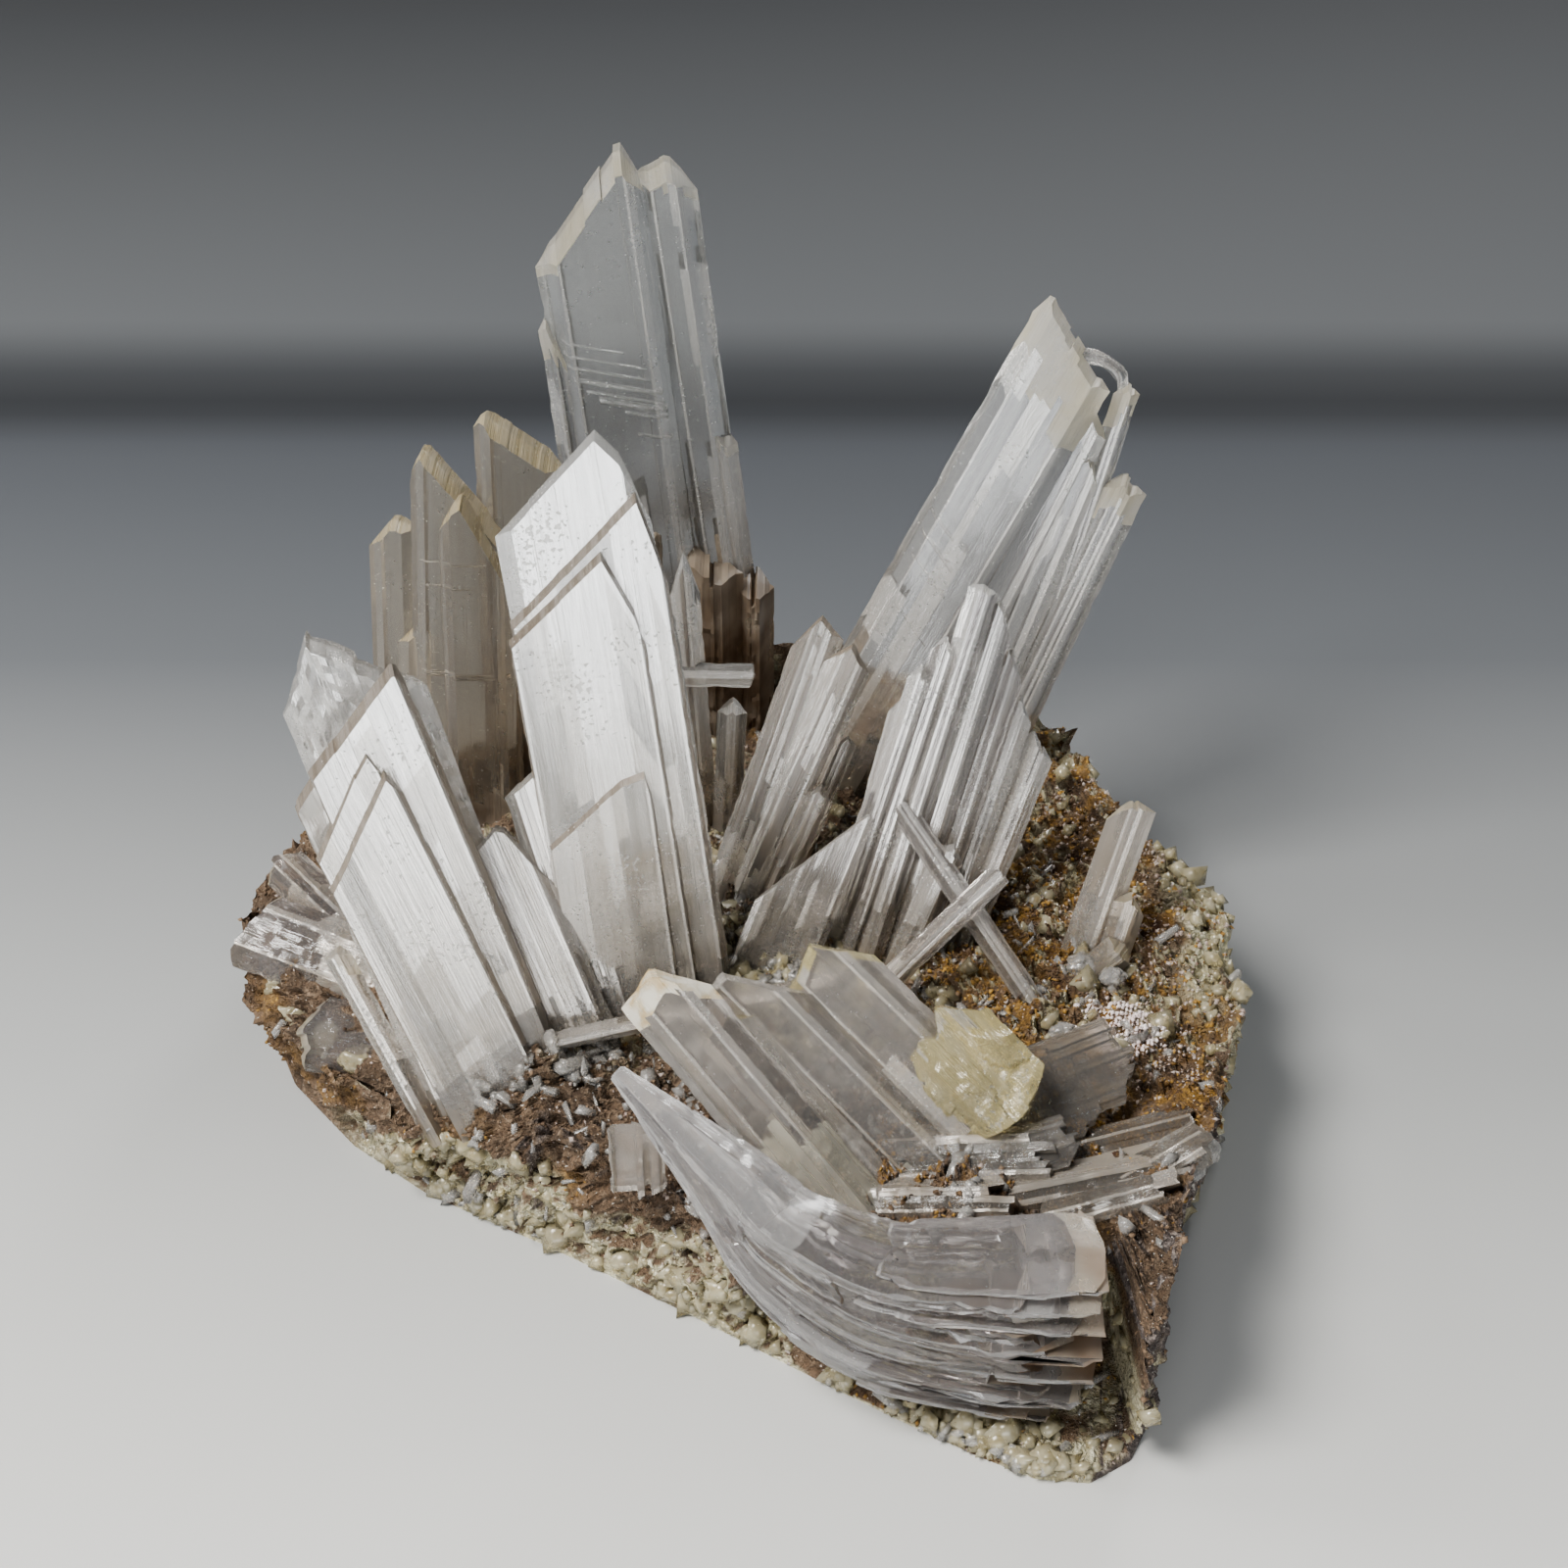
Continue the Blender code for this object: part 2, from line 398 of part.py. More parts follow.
def slab():
    """Makes the matrix: a lumpy slab between the underside outline and the rim."""
    under = between(UNDERSIDE, RIM_STEPS)
    rim = between(RIM, RIM_STEPS)
    count = len(rim)
    bm = bmesh.new()
    rings = [[bm.verts.new((x, y, 0)) for x, y in under]]
    for share in SIDE_SHARES:
        ring = []
        for (ux, uy), (rx, ry, rz) in zip(under, rim):
            x = ux + (rx - ux) * share
            y = uy + (ry - uy) * share
            z = rz * share
            out = 1 + SIDE_LUMP * rough(x, y, z, 0.16, 3)
            ring.append(bm.verts.new((x * out, y * out, z + rough(x, y, z, 0.3, 9))))
        rings.append(ring)
    rings.append([bm.verts.new((x, y, z + rough(x, y, z, 0.3, 5))) for x, y, z in rim])
    bm.faces.new(rings[0])
    for one, two in zip(rings, rings[1:]):
        for i in range(count):
            j = (i + 1) % count
            bm.faces.new((one[i], one[j], two[j], two[i]))
    flat = [Vector((x, y)) for x, y, _ in rim]
    reach = int(max(abs(side) for corner in RIM for side in corner) / (TOP_SPACING * ROW_SHARE)) + 1
    for row in range(-reach, reach + 1):
        for column in range(-reach, reach + 1):
            x = (column + 0.5 * (row % 2)) * TOP_SPACING
            y = row * TOP_SPACING * ROW_SHARE
            x += TOP_JITTER * rough(x, y, 0, 0.7, 11)
            y += TOP_JITTER * rough(x, y, 0, 0.7, 13)
            place = Vector((x, y))
            border = min((place - corner).length for corner in flat)
            if border > TOP_BORDER and inside(place, flat):
                flat.append(place)
    edges = [(i, (i + 1) % count) for i in range(count)]
    points, _, faces, _, _, _ = delaunay_2d_cdt(flat, edges, [], 1, 1e-6)
    verts = rings[-1] + [bm.verts.new((p.x, p.y, top_height(p.x, p.y, rim))) for p in points[count:]]
    for face in faces:
        bm.faces.new([verts[i] for i in face])
    bmesh.ops.triangulate(bm, faces=bm.faces[:])
    return object_from(bm, "slab")


def inside(place, outline):
    """True where a place lies inside a closed outline."""
    crossings = 0
    corners = outline[:len(RIM) * RIM_STEPS]
    for a, b in zip(corners, corners[1:] + corners[:1]):
        if (a.y > place.y) != (b.y > place.y):
            if place.x < a.x + (b.x - a.x) * (place.y - a.y) / (b.y - a.y):
                crossings += 1
    return crossings % 2 == 1


def lump(x, y, z, rx, ry, rz):
    """Makes a faceted lump, or the cutter of a hollow, kept clear of the plane of the underside."""
    bm = bmesh.new()
    bmesh.ops.create_icosphere(bm, subdivisions=1, radius=1.0)
    for vert in bm.verts:
        push = 1 + 0.5 * rough(vert.co.x + x, vert.co.y + y, vert.co.z + z, 0.9, 2)
        vert.co = Vector((x + vert.co.x * rx * push, y + vert.co.y * ry * push,
                          max(z + vert.co.z * rz * push, LUMP_FLOOR)))
    return object_from(bm, "lump")


def chip(place, way, length, width, thick):
    middle = Vector(place)
    half = Vector(way).normalized() * length / 2
    spec = blade(middle - half, middle + half, width, thick, 0, 0.4, 0.7, 0.2, (0.1, -0.8, 0.6))
    return crystal(spec, name="chip")


def flake(grow=0.0):
    """Makes the thin jagged piece that hangs over the front of the matrix."""
    bm = bmesh.new()
    middle_x = sum(x for x, _ in FLAKE_OUTLINE) / len(FLAKE_OUTLINE)
    middle_z = sum(z for _, z in FLAKE_OUTLINE) / len(FLAKE_OUTLINE)
    rings = []
    for side in (-1, 1):
        ring = []
        for x, z in FLAKE_OUTLINE:
            away = Vector((x - middle_x, z - middle_z))
            away *= (away.length + grow) / away.length
            ring.append(bm.verts.new((
                middle_x + away.x, side * (FLAKE_THICK / 2 + grow), middle_z + away.y)))
        rings.append(ring)
    bm.faces.new(rings[0])
    bm.faces.new(rings[1])
    count = len(FLAKE_OUTLINE)
    for i in range(count):
        j = (i + 1) % count
        bm.faces.new((rings[0][i], rings[0][j], rings[1][j], rings[1][i]))
    lean = Matrix.Rotation(math.radians(FLAKE_LEAN), 4, "X")
    bmesh.ops.transform(bm, matrix=Matrix.Translation(FLAKE_PLACE) @ lean, verts=bm.verts)
    bmesh.ops.triangulate(bm, faces=bm.faces[:])
    return object_from(bm, "flake")


CLUSTERS = {
    "tall_crystal": TALL,
    "rear_blades": REAR,
    "central_blades": CENTRAL,
    "left_blades": LEFT,
    "left_end_crystals": LEFT_END,
    "middle_prisms": MIDDLE,
    "small_back_crystals": SMALL_BACK,
    "needle_sheaf": SHEAF,
    "fan_crystal": FAN,
    "crossing_prisms": CROSSING,
    "stub_crystal": STUB,
    "front_blades": FRONT_BLADES,
    "smoky_blades": SMOKY,
}


def make(name, grow=0.0):
    """Makes a whole cluster, or with grow the cutter of its socket."""
    if name == "bent_crystal":
        parts = [bed(share, grow) for share in BEDS]
    elif name == "thin_flake":
        parts = [flake(grow)]
    else:
        parts = [crystal(spec, grow) for spec in CLUSTERS[name]]
    return union(parts, name if not grow else name + "_socket")


# Where two clusters meet, the second one makes room for the first.
MEETINGS = [
    ("central_blades", "left_blades"), ("central_blades", "front_blades"),
    ("central_blades", "small_back_crystals"), ("central_blades", "middle_prisms"),
    ("central_blades", "rear_blades"), ("left_blades", "left_end_crystals"),
    ("needle_sheaf", "middle_prisms"), ("needle_sheaf", "crossing_prisms"),
    ("front_blades", "crossing_prisms"), ("front_blades", "bent_crystal"),
    ("front_blades", "smoky_blades"), ("bent_crystal", "smoky_blades"),
    ("needle_sheaf", "front_blades"), ("tall_crystal", "small_back_crystals"),
    ("left_blades", "rear_blades"), ("left_blades", "front_blades"),
    ("front_blades", "left_blades"), ("small_back_crystals", "middle_prisms"),
    ("needle_sheaf", "central_blades"), ("fan_crystal", "needle_sheaf"),
    ("bent_crystal", "thin_flake"), ("front_blades", "thin_flake"),
]

# Colour and roughness of each node.
FINISHES = {
    "tall_crystal": ((0.78, 0.78, 0.73), 0.08),
    "rear_blades": ((0.62, 0.60, 0.52), 0.16),
    "central_blades": ((0.84, 0.84, 0.82), 0.18),
    "left_blades": ((0.82, 0.82, 0.80), 0.16),
    "left_end_crystals": ((0.66, 0.62, 0.60), 0.14),
    "middle_prisms": ((0.68, 0.64, 0.56), 0.34),
    "small_back_crystals": ((0.78, 0.76, 0.71), 0.20),
    "needle_sheaf": ((0.84, 0.82, 0.82), 0.14),
    "fan_crystal": ((0.76, 0.77, 0.73), 0.12),
    "crossing_prisms": ((0.80, 0.77, 0.76), 0.16),
    "stub_crystal": ((0.80, 0.79, 0.75), 0.22),
    "front_blades": ((0.74, 0.72, 0.60), 0.14),
    "smoky_blades": ((0.56, 0.53, 0.49), 0.18),
    "bent_crystal": ((0.78, 0.76, 0.75), 0.14),
    "thin_flake": ((0.66, 0.65, 0.63), 0.16),
    "matrix": ((0.33, 0.25, 0.17), 0.85),
}

nodes = {}
for name in list(CLUSTERS) + ["bent_crystal", "thin_flake"]:
    nodes[name] = make(name)
for first, second in MEETINGS:
    combine(nodes[second], make(first, GAP), "DIFFERENCE")
    drop_slivers(nodes[second])

pieces = [slab()]
pieces += [lump(*row) for row in RIM_LUMPS]
pieces += [chip(*row) for row in CHIPS]
# The exact solver loses the slab among so many lumps, so the matrix is joined by the other one.
matrix = union(pieces, "matrix", "MANIFOLD")
for row in PITS:
    combine(matrix, lump(*row), "DIFFERENCE", "MANIFOLD")
for name in nodes:
    combine(matrix, make(name, GAP), "DIFFERENCE", "MANIFOLD")
drop_slivers(matrix)
nodes["matrix"] = matrix

for name, thing in nodes.items():
    thing.name = name
    thing.data.materials.clear()
    thing.data.materials.append(material(name, *FINISHES[name]))
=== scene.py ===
"""The looks of a selenite specimen: clear and silky gypsum crystals on an earthy matrix with gypsum crusts.

Lengths are in millimetres until a mesh is filled, where they become metres. Every blade is described in
its own axes: across its broad face, the way that face looks, and along its length.
"""
import math

import bpy
import numpy as np
from mathutils import Matrix, Vector


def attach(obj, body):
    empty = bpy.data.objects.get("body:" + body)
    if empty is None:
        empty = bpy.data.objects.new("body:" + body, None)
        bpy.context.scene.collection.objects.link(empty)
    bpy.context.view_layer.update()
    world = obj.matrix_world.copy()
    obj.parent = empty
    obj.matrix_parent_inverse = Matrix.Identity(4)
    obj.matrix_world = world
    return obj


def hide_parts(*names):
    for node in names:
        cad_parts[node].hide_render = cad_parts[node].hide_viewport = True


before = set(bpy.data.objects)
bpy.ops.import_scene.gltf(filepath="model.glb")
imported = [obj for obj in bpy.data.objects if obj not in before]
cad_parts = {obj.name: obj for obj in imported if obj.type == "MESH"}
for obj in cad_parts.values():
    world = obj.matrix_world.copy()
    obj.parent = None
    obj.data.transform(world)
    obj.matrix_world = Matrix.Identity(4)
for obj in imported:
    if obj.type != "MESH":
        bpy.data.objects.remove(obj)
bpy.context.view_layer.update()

MM = 0.001
FRONT = (0.0, -0.8, 0.6)    # the side most broad faces look to
LEAST_FACE = 0.3            # the broad face's least share of a blade's width
RISER = 0.025               # half the width of the step from one strip of a face to the next
EDGE = 0.05                 # half the thickness left at a blade's sharp edges
# The bright line along each edge of a face is a painted highlight, given the veil's whiter finish.
EDGE_HIGHLIGHT_BAND = 0.28            # the width of the bright line along each edge of a face
CAP_SHARES = (0.8, 0.6, 0.4, 0.2, 0.03)     # rows on an end plane, as shares of the thickness there

# strip and relief are the width and depth of the strips along a face, ragged and torn how unevenly they
# end at the tip and start at the foot, lumpy the height of broken facets and swell that of rounded lumps.
# foot_zone, cap_zone and rim are the lengths with the foot's, the end's and the veil's finish, veil the
# share of veiled strips at the foot and at the tip, and finish the material numbers of body, end, foot,
# veil and half veil. The veil's finish along a rim is a painted highlight. A growth layer, whose rim isn't
# 0, has its end's finish on its sides as well; on the big and left blades that finish is a painted shade.
# row is the distance between rows, fine, where it isn't 0, that between the columns of a lumpy face,
# facets the number of broken facets to the millimetre and crumbled the height of the small ones near the tip.
PLAIN_LOOKS = dict(strip=0.6, relief=0.07, ragged=0.15, torn=0.0, lumpy=0.0, swell=0.0, foot_zone=8.0,
                   cap_zone=0.0, rim=0.0, nick=0.25, veil=(0.25, 0.35), finish=(0, 1, 2, 3, 3), fine=0.0,
                   row=1.5, facets=0.8, crumbled=0.0)


def unit(vectors):
    return vectors / np.linalg.norm(vectors, axis=-1, keepdims=True)


def lattice(corner, seed):
    """A repeatable number from 0 to 1 for each lattice corner: the fraction of a large sine of its place."""
    wave = np.sin(corner @ np.array([127.1, 311.7, 74.7]) + seed * 53.3) * 43758.5453
    return wave - np.floor(wave)


def noise(points, scale, seed=0.0):
    """Value noise from -1 to 1: the numbers at the eight corners of each lattice cell, blended smoothly."""
    place = points * scale
    cell = np.floor(place)
    share = place - cell
    share = share * share * (3 - 2 * share)
    total = 0.0
    for corner in np.array([(x, y, z) for x in (0, 1) for y in (0, 1) for z in (0, 1)], float):
        weight = np.prod(np.where(corner > 0, share, 1 - share), axis=-1)
        total = total + weight * lattice(cell + corner, seed)
    return 2 * total - 1


def fractal(points, scale, octaves=4, seed=0.0):
    """Noise summed over octaves, each twice as fine and half as high as the last."""
    return sum(noise(points, scale * 2 ** i, seed + 7 * i) / 2 ** i for i in range(octaves))


def chunks(points, scale, seed=0.0):
    """Broken facets from about -1 to 1: each point takes the tilted plane of the nearest cell's middle."""
    place = points * scale
    cell = np.floor(place)
    nearest = np.full(place.shape[:-1], 9.0)
    height = np.zeros(place.shape[:-1])
    for corner in np.array([(x, y, z) for x in (-1, 0, 1) for y in (-1, 0, 1) for z in (-1, 0, 1)], float):
        here = cell + corner
        middle = here + np.stack([lattice(here, seed + i) for i in (1, 2, 3)], axis=-1)
        tilt = np.stack([lattice(here, seed + i) - 0.5 for i in (4, 5, 6)], axis=-1)
        away = place - middle
        distance = np.linalg.norm(away, axis=-1)
        plane = 1.4 * (lattice(here, seed + 8) - 0.5) + 1.8 * np.sum(tilt * away, axis=-1)
        height = np.where(distance < nearest, plane, height)
        nearest = np.minimum(distance, nearest)
    return height


def ramp(value, low, high):
    """0 below low, 1 above high and a smooth rise between them."""
    share = np.clip((value - low) / (high - low), 0, 1)
    return share * share * (3 - 2 * share)


def mesh_object(name, points, faces, uv=None, slots=None):
    """Puts points in millimetres and faces of one kind (n, corners) into a new object, by whole arrays."""
    faces = np.asarray(faces, np.int32)
    mesh = bpy.data.meshes.new(name)
    mesh.vertices.add(len(points))
    mesh.vertices.foreach_set("co", (np.asarray(points, float) * MM).ravel())
    mesh.loops.add(faces.size)
    mesh.loops.foreach_set("vertex_index", faces.ravel())
    mesh.polygons.add(len(faces))
    mesh.polygons.foreach_set("loop_start", np.arange(0, faces.size, faces.shape[1], dtype=np.int32))
    if slots is not None:
        mesh.polygons.foreach_set("material_index", np.asarray(slots, np.int32))
    mesh.update(calc_edges=True)
    if uv is not None:
        layer = mesh.uv_layers.new(name="face_mm")
        layer.data.foreach_set("uv", np.asarray(uv, float)[faces.ravel()].ravel())
    made = bpy.data.objects.new(name, mesh)
    bpy.context.scene.collection.objects.link(made)
    return made


def shell(front, back):
    """Closes two grids (across, up, 3) into one skin: front, back and the four strips that join their rims.

    Returns the points, the faces and, for each face, its place in a (across, up) table of faces.
    """
    columns, rows = front.shape[:2]
    f = np.arange(columns * rows).reshape(columns, rows)
    b = f + columns * rows
    cell = np.arange((columns - 1) * (rows - 1)).reshape(columns - 1, rows - 1)
    strips = [
        ((f[:-1, :-1], f[1:, :-1], f[1:, 1:], f[:-1, 1:]), cell),
        ((b[:-1, :-1], b[:-1, 1:], b[1:, 1:], b[1:, :-1]), cell),
        ((f[:-1, 0], b[:-1, 0], b[1:, 0], f[1:, 0]), cell[:, 0]),
        ((f[:-1, -1], f[1:, -1], b[1:, -1], b[:-1, -1]), cell[:, -1]),
        ((b[0, :-1], f[0, :-1], f[0, 1:], b[0, 1:]), cell[0]),
        ((f[-1, :-1], b[-1, :-1], b[-1, 1:], f[-1, 1:]), cell[-1]),
    ]
    faces = np.concatenate([np.stack([c.ravel() for c in corners], axis=1) for corners, _ in strips])
    cells = np.concatenate([table.ravel() for _, table in strips])
    return np.concatenate([front.reshape(-1, 3), back.reshape(-1, 3)]), faces, cells


def blade(foot, tip, width, thick, apex=0.0, left=1.0, right=1.0, wedge=0.0, face=FRONT, bevel=0.4, **looks):
    """A flat-faced crystal, from the middle of its foot to the height of its tip.

    apex is how far the tip is right of the middle line, left and right are the falls of the top edge on
    either side of it, and wedge its fall towards both faces. looks are changes to PLAIN_LOOKS.
    """
    return dict(PLAIN_LOOKS, foot=foot, tip=tip, width=width, thick=thick, apex=apex, left=left,
                right=right, wedge=wedge, face=face, bevel=bevel, **looks)


def axes_of(spec):
    """A blade's foot, the directions across, facing and along, and its length."""
    foot = np.array(spec["foot"], float)
    reach = np.array(spec["tip"], float) - foot
    along = unit(reach)
    face = np.array(spec["face"], float)
    facing = unit(face - face.dot(along) * along)
    return foot, np.cross(along, facing), facing, along, np.linalg.norm(reach)


def end_height(spec, u, v, length):
    """The height of the end planes over a place (u, v) on the section: the tip's less its falls."""
    away = u - spec["apex"]
    fall = np.where(away < 0, -spec["left"] * away, spec["right"] * away)
    return length - fall - spec["wedge"] * np.abs(v)


def slab_object(spec, length, seed, carry):
    """Builds a crystal as two height fields over (across, up), one for each face, closed into one skin.

    Front and back are half the thickness, less a random level for each strip between two risers, and a
    slow waviness, broken facets and rounded lumps. Rows follow the end planes. carry turns
    (across, out, up) into a place.
    """
    rng = np.random.default_rng(seed)
    half, thick = spec["width"] / 2, spec["thick"] / 2
    shoulder = max(half - spec["bevel"] * spec["thick"], half * LEAST_FACE)
    count = max(3, round(2 * shoulder / spec["strip"]))
    shares = np.cumsum(rng.uniform(0.35, 1.65, count))
    edges = shoulder * (2 * shares[:-1] / shares[-1] - 1)
    inner = np.sort(np.concatenate([edges - RISER, edges + RISER]))
    if spec["fine"]:
        spread = np.linspace(-shoulder, shoulder, int(2 * shoulder / spec["fine"]) + 2)[1:-1]
        near = np.abs(spread[:, None] - inner[None, :]).min(axis=1)
        inner = np.sort(np.concatenate([inner, spread[near > 2 * RISER]]))
    inner = np.sort(np.concatenate([inner, [EDGE_HIGHLIGHT_BAND - shoulder, shoulder - EDGE_HIGHLIGHT_BAND]]))
    slant = half - shoulder
    outer = shoulder + slant * np.array([0.0, 0.3, 0.36, 0.65, 0.7, 1.0])
    u = np.concatenate([-outer[::-1], inner, outer])
    strip_of = np.searchsorted(edges, u)
    on_face = np.abs(u) <= shoulder
    side_level = np.where(on_face, 0, spec["relief"] * (1 + np.sin(u * 9 + seed)) / 2)
    profile = thick * np.clip((half - np.abs(u)) / slant, 0, 1)
    ends = -spec["ragged"] * rng.random(count)[strip_of] * np.where(on_face, 1, 0.5)
    starts = spec["torn"] * rng.random(count)[strip_of] + 3 * spec["swell"] * (u / half) ** 2
    lower = np.linspace(0, 1, max(5, int(length / spec["row"])))[:-1]
    along_u = np.stack([u, u * 0, u * 0 + seed], axis=-1)
    ends = ends - spec["lumpy"] * (1 + chunks(along_u, 0.9, seed)) - 2 * spec["swell"] * (1 + noise(along_u, 0.5))

    def side(front):
        """One face: its places, and its (across, up) pairs."""
        level = spec["relief"] * rng.random(count) ** 2
        base = np.maximum(profile - level[strip_of] * on_face - side_level, EDGE)
        top = end_height(spec, u, base, length) + ends
        depth = min(10.0, 0.45 * top.min())
        below = np.append(np.linspace(depth, 0, max(9, int(depth / spec["row"])))[:-1], [0.15, 0.0])
        heights = np.concatenate([
            starts[:, None] + np.outer(top - below[0] - starts, lower), top[:, None] - below[None, :]], axis=1)
        out = np.repeat(base[:, None], heights.shape[1], axis=1)
        wide = np.repeat(u[:, None], heights.shape[1], 1)
        where = np.stack([wide * 0.5, heights * 0.11, np.full_like(heights, seed * 3.7 + front)], axis=-1)
        out = out + spec["relief"] * 0.8 * noise(where, 1.0, seed)
        rough = np.stack([wide, heights, np.full_like(heights, seed + 5.0 * front)], axis=-1)
        out = out + spec["lumpy"] * chunks(rough * np.array([1, 0.6, 1]), spec["facets"], seed)
        out = out + spec["crumbled"] * ramp(heights / length, 0.65, 0.95) * chunks(rough, 1.1, seed)
        out = np.maximum(out + spec["swell"] * (noise(rough, 0.45, seed) + 0.5 * noise(rough, 1.1, seed)), EDGE)
        cap_v = [out[:, -1] * share for share in CAP_SHARES]
        cap_h = [end_height(spec, u, v, length) + ends for v in cap_v]
        out = np.concatenate([out, np.stack(cap_v, axis=1)], axis=1)
        heights = np.concatenate([heights, np.stack(cap_h, axis=1)], axis=1)
        chip = np.maximum(noise(np.stack([heights * 0.9, heights * 0, heights * 0 + seed], -1), 1.0), 0.3)
        chip = spec["nick"] * (chip - 0.3) * (np.abs(u)[:, None] > shoulder)
        wide = u[:, None] * (1 - chip / half)
        return carry(wide, out if front else -out, heights), wide, heights

    front, wide, heights = side(True)
    back, _, back_heights = side(False)
    points, faces, cells = shell(front, back)
    # The finish of each face: 0 body, 1 end, 2 foot, 3 veiled strip.
    share = np.clip(heights / length, 0, 1)
    strip = np.repeat(strip_of[:, None], heights.shape[1], 1)
    luck = 0.6 * rng.random(count)[strip_of][:, None] + 0.2 + 0.2 * noise(
        np.stack([strip * 3.1, heights * 0.12, heights * 0 + seed], axis=-1), 1.0)
    limit = spec["veil"][0] + (spec["veil"][1] - spec["veil"][0]) * share
    uneven = 0.5 + 0.5 * noise(np.stack([strip * 7.3, heights * 0, heights * 0 + seed], -1), 1.0)
    table = np.where(luck < limit, 3, np.where(luck < limit + 0.16, 4, 0))
    # Strips along each edge of a face take the veil's finish: a painted highlight line.
    painted_edge_highlight = (u < 0.95 * EDGE_HIGHLIGHT_BAND - shoulder) | (u > shoulder - 1.05 * EDGE_HIGHLIGHT_BAND)
    table[painted_edge_highlight & on_face] = 3
    table[heights < spec["foot_zone"] * (0.5 + uneven)] = 2
    top = end_height(spec, u, 0.0, length)[:, None] - heights
    table[(top < spec["cap_zone"] * (0.4 + 1.2 * uneven)) & (spec["cap_zone"] > 0)] = 1
    # Rows just under a growth layer's top take the veil's finish, a painted highlight; its sides take the end's finish,
    # a painted shade on the big and left blades.
    table[(top < spec["rim"]) & (spec["rim"] > 0)] = 3
    table[~on_face[:, None] & (table != 2) & (spec["rim"] > 0)] = 1
    table[:, -len(CAP_SHARES) - 1:] = 1
    slots = np.array(spec["finish"])[table[:-1, :-1].ravel()[cells]]
    uv = np.concatenate([np.stack([wide, heights], -1).reshape(-1, 2),
                         np.stack([wide, back_heights], -1).reshape(-1, 2)]) + rng.random(2) * 90
    return mesh_object("slab", points, faces, uv * 0.1, slots)


def blade_object(spec, seed):
    """A straight blade: across, out and up are carried along its own three axes from its foot."""
    foot, across, facing, along, length = axes_of(spec)

    def carry(wide, out, up):
        return foot + wide[..., None] * across + out[..., None] * facing + up[..., None] * along

    return slab_object(spec, length, seed, carry)


def combine(base, other):
    """Joins other into base with a Boolean union, and drops other."""
    modifier = base.modifiers.new("combine", "BOOLEAN")
    modifier.operation = "UNION"
    modifier.solver = "MANIFOLD"
    modifier.object = other
    graph = bpy.context.evaluated_depsgraph_get()
    mesh = bpy.data.meshes.new_from_object(base.evaluated_get(graph))
    base.modifiers.clear()
    base.data = mesh
    bpy.data.objects.remove(other, do_unlink=True)


def finish_piece(piece, node, materials):
    """Gives a piece its materials, rides it on the body and hides the CAD node it stands for."""
    for material in materials:
        piece.data.materials.append(material)
    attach(piece, "root")
    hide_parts(node)
    return piece


def cluster(name, node, specs, materials, seed, smooth=12, more=()):
    """Joins the blades of one cluster into one closed skin, smooth but for edges sharper than an angle."""
    parts = [blade_object(spec, seed + 13 * i) for i, spec in enumerate(specs)] + list(more)
    for part in parts:
        for material in materials:
            part.data.materials.append(material)
    base = parts[0]
    for other in parts[1:]:
        combine(base, other)
    base.name = name
    base.data.name = name
    base.data.shade_smooth()
    base.data.set_sharp_from_angle(angle=math.radians(smooth))
    return finish_piece(base, node, [])


def socket(group, name, kind, default=None, way="INPUT"):
    made = group.interface.new_socket(name, in_out=way, socket_type=kind)
    if default is not None:
        made.default_value = default
    return made


def node_of(tree, kind, **settings):
    made = tree.nodes.new(kind)
    for key, value in settings.items():
        setattr(made, key, value)
    return made


def math_node(tree, operation, first, second=None):
    """A Math node fed by sockets or numbers."""
    made = node_of(tree, "ShaderNodeMath", operation=operation)
    for slot, value in enumerate((first, second)):
        if value is None:
            continue
        if isinstance(value, (int, float)):
            made.inputs[slot].default_value = value
        else:
            tree.links.new(value, made.inputs[slot])
    return made.outputs[0]


def mix_colour(tree, share, first, second):
    """A colour mix of two sockets or colours."""
    made = node_of(tree, "ShaderNodeMix", data_type="RGBA")
    for slot, value in ((0, share), (6, first), (7, second)):
        if isinstance(value, (int, float)):
            made.inputs[slot].default_value = value
        elif isinstance(value, tuple):
            made.inputs[slot].default_value = (*value, 1.0)
        else:
            tree.links.new(value, made.inputs[slot])
    return made.outputs[2]


def stretch(tree, vector, scale):
    """Scales a vector socket along its three axes."""
    mapping = node_of(tree, "ShaderNodeMapping")
    mapping.inputs["Scale"].default_value = scale
    tree.links.new(vector, mapping.inputs["Vector"])
    return mapping.outputs[0]


def noise_node(tree, vector, scale, detail=3.0, roughness=0.5):
    made = node_of(tree, "ShaderNodeTexNoise")
    made.inputs["Scale"].default_value = scale
    made.inputs["Detail"].default_value = detail
    made.inputs["Roughness"].default_value = roughness
    tree.links.new(vector, made.inputs["Vector"])
    return made.outputs["Fac"]


def band(tree, value, low, high):
    """Maps a value so that low gives 0 and high gives 1, held inside those limits."""
    made = node_of(tree, "ShaderNodeMapRange")
    made.inputs["From Min"].default_value = low
    made.inputs["From Max"].default_value = high
    tree.links.new(value, made.inputs["Value"])
    return made.outputs[0]


def new_group(name, inputs, outputs):
    """Starts a shader node group with named inputs (name, kind, default) and outputs (name, kind)."""
    group = bpy.data.node_groups.new(name, "ShaderNodeTree")
    for title, kind, default in inputs:
        socket(group, title, kind, default)
    for title, kind in outputs:
        socket(group, title, kind, way="OUTPUT")
    return group, node_of(group, "NodeGroupInput"), node_of(group, "NodeGroupOutput")


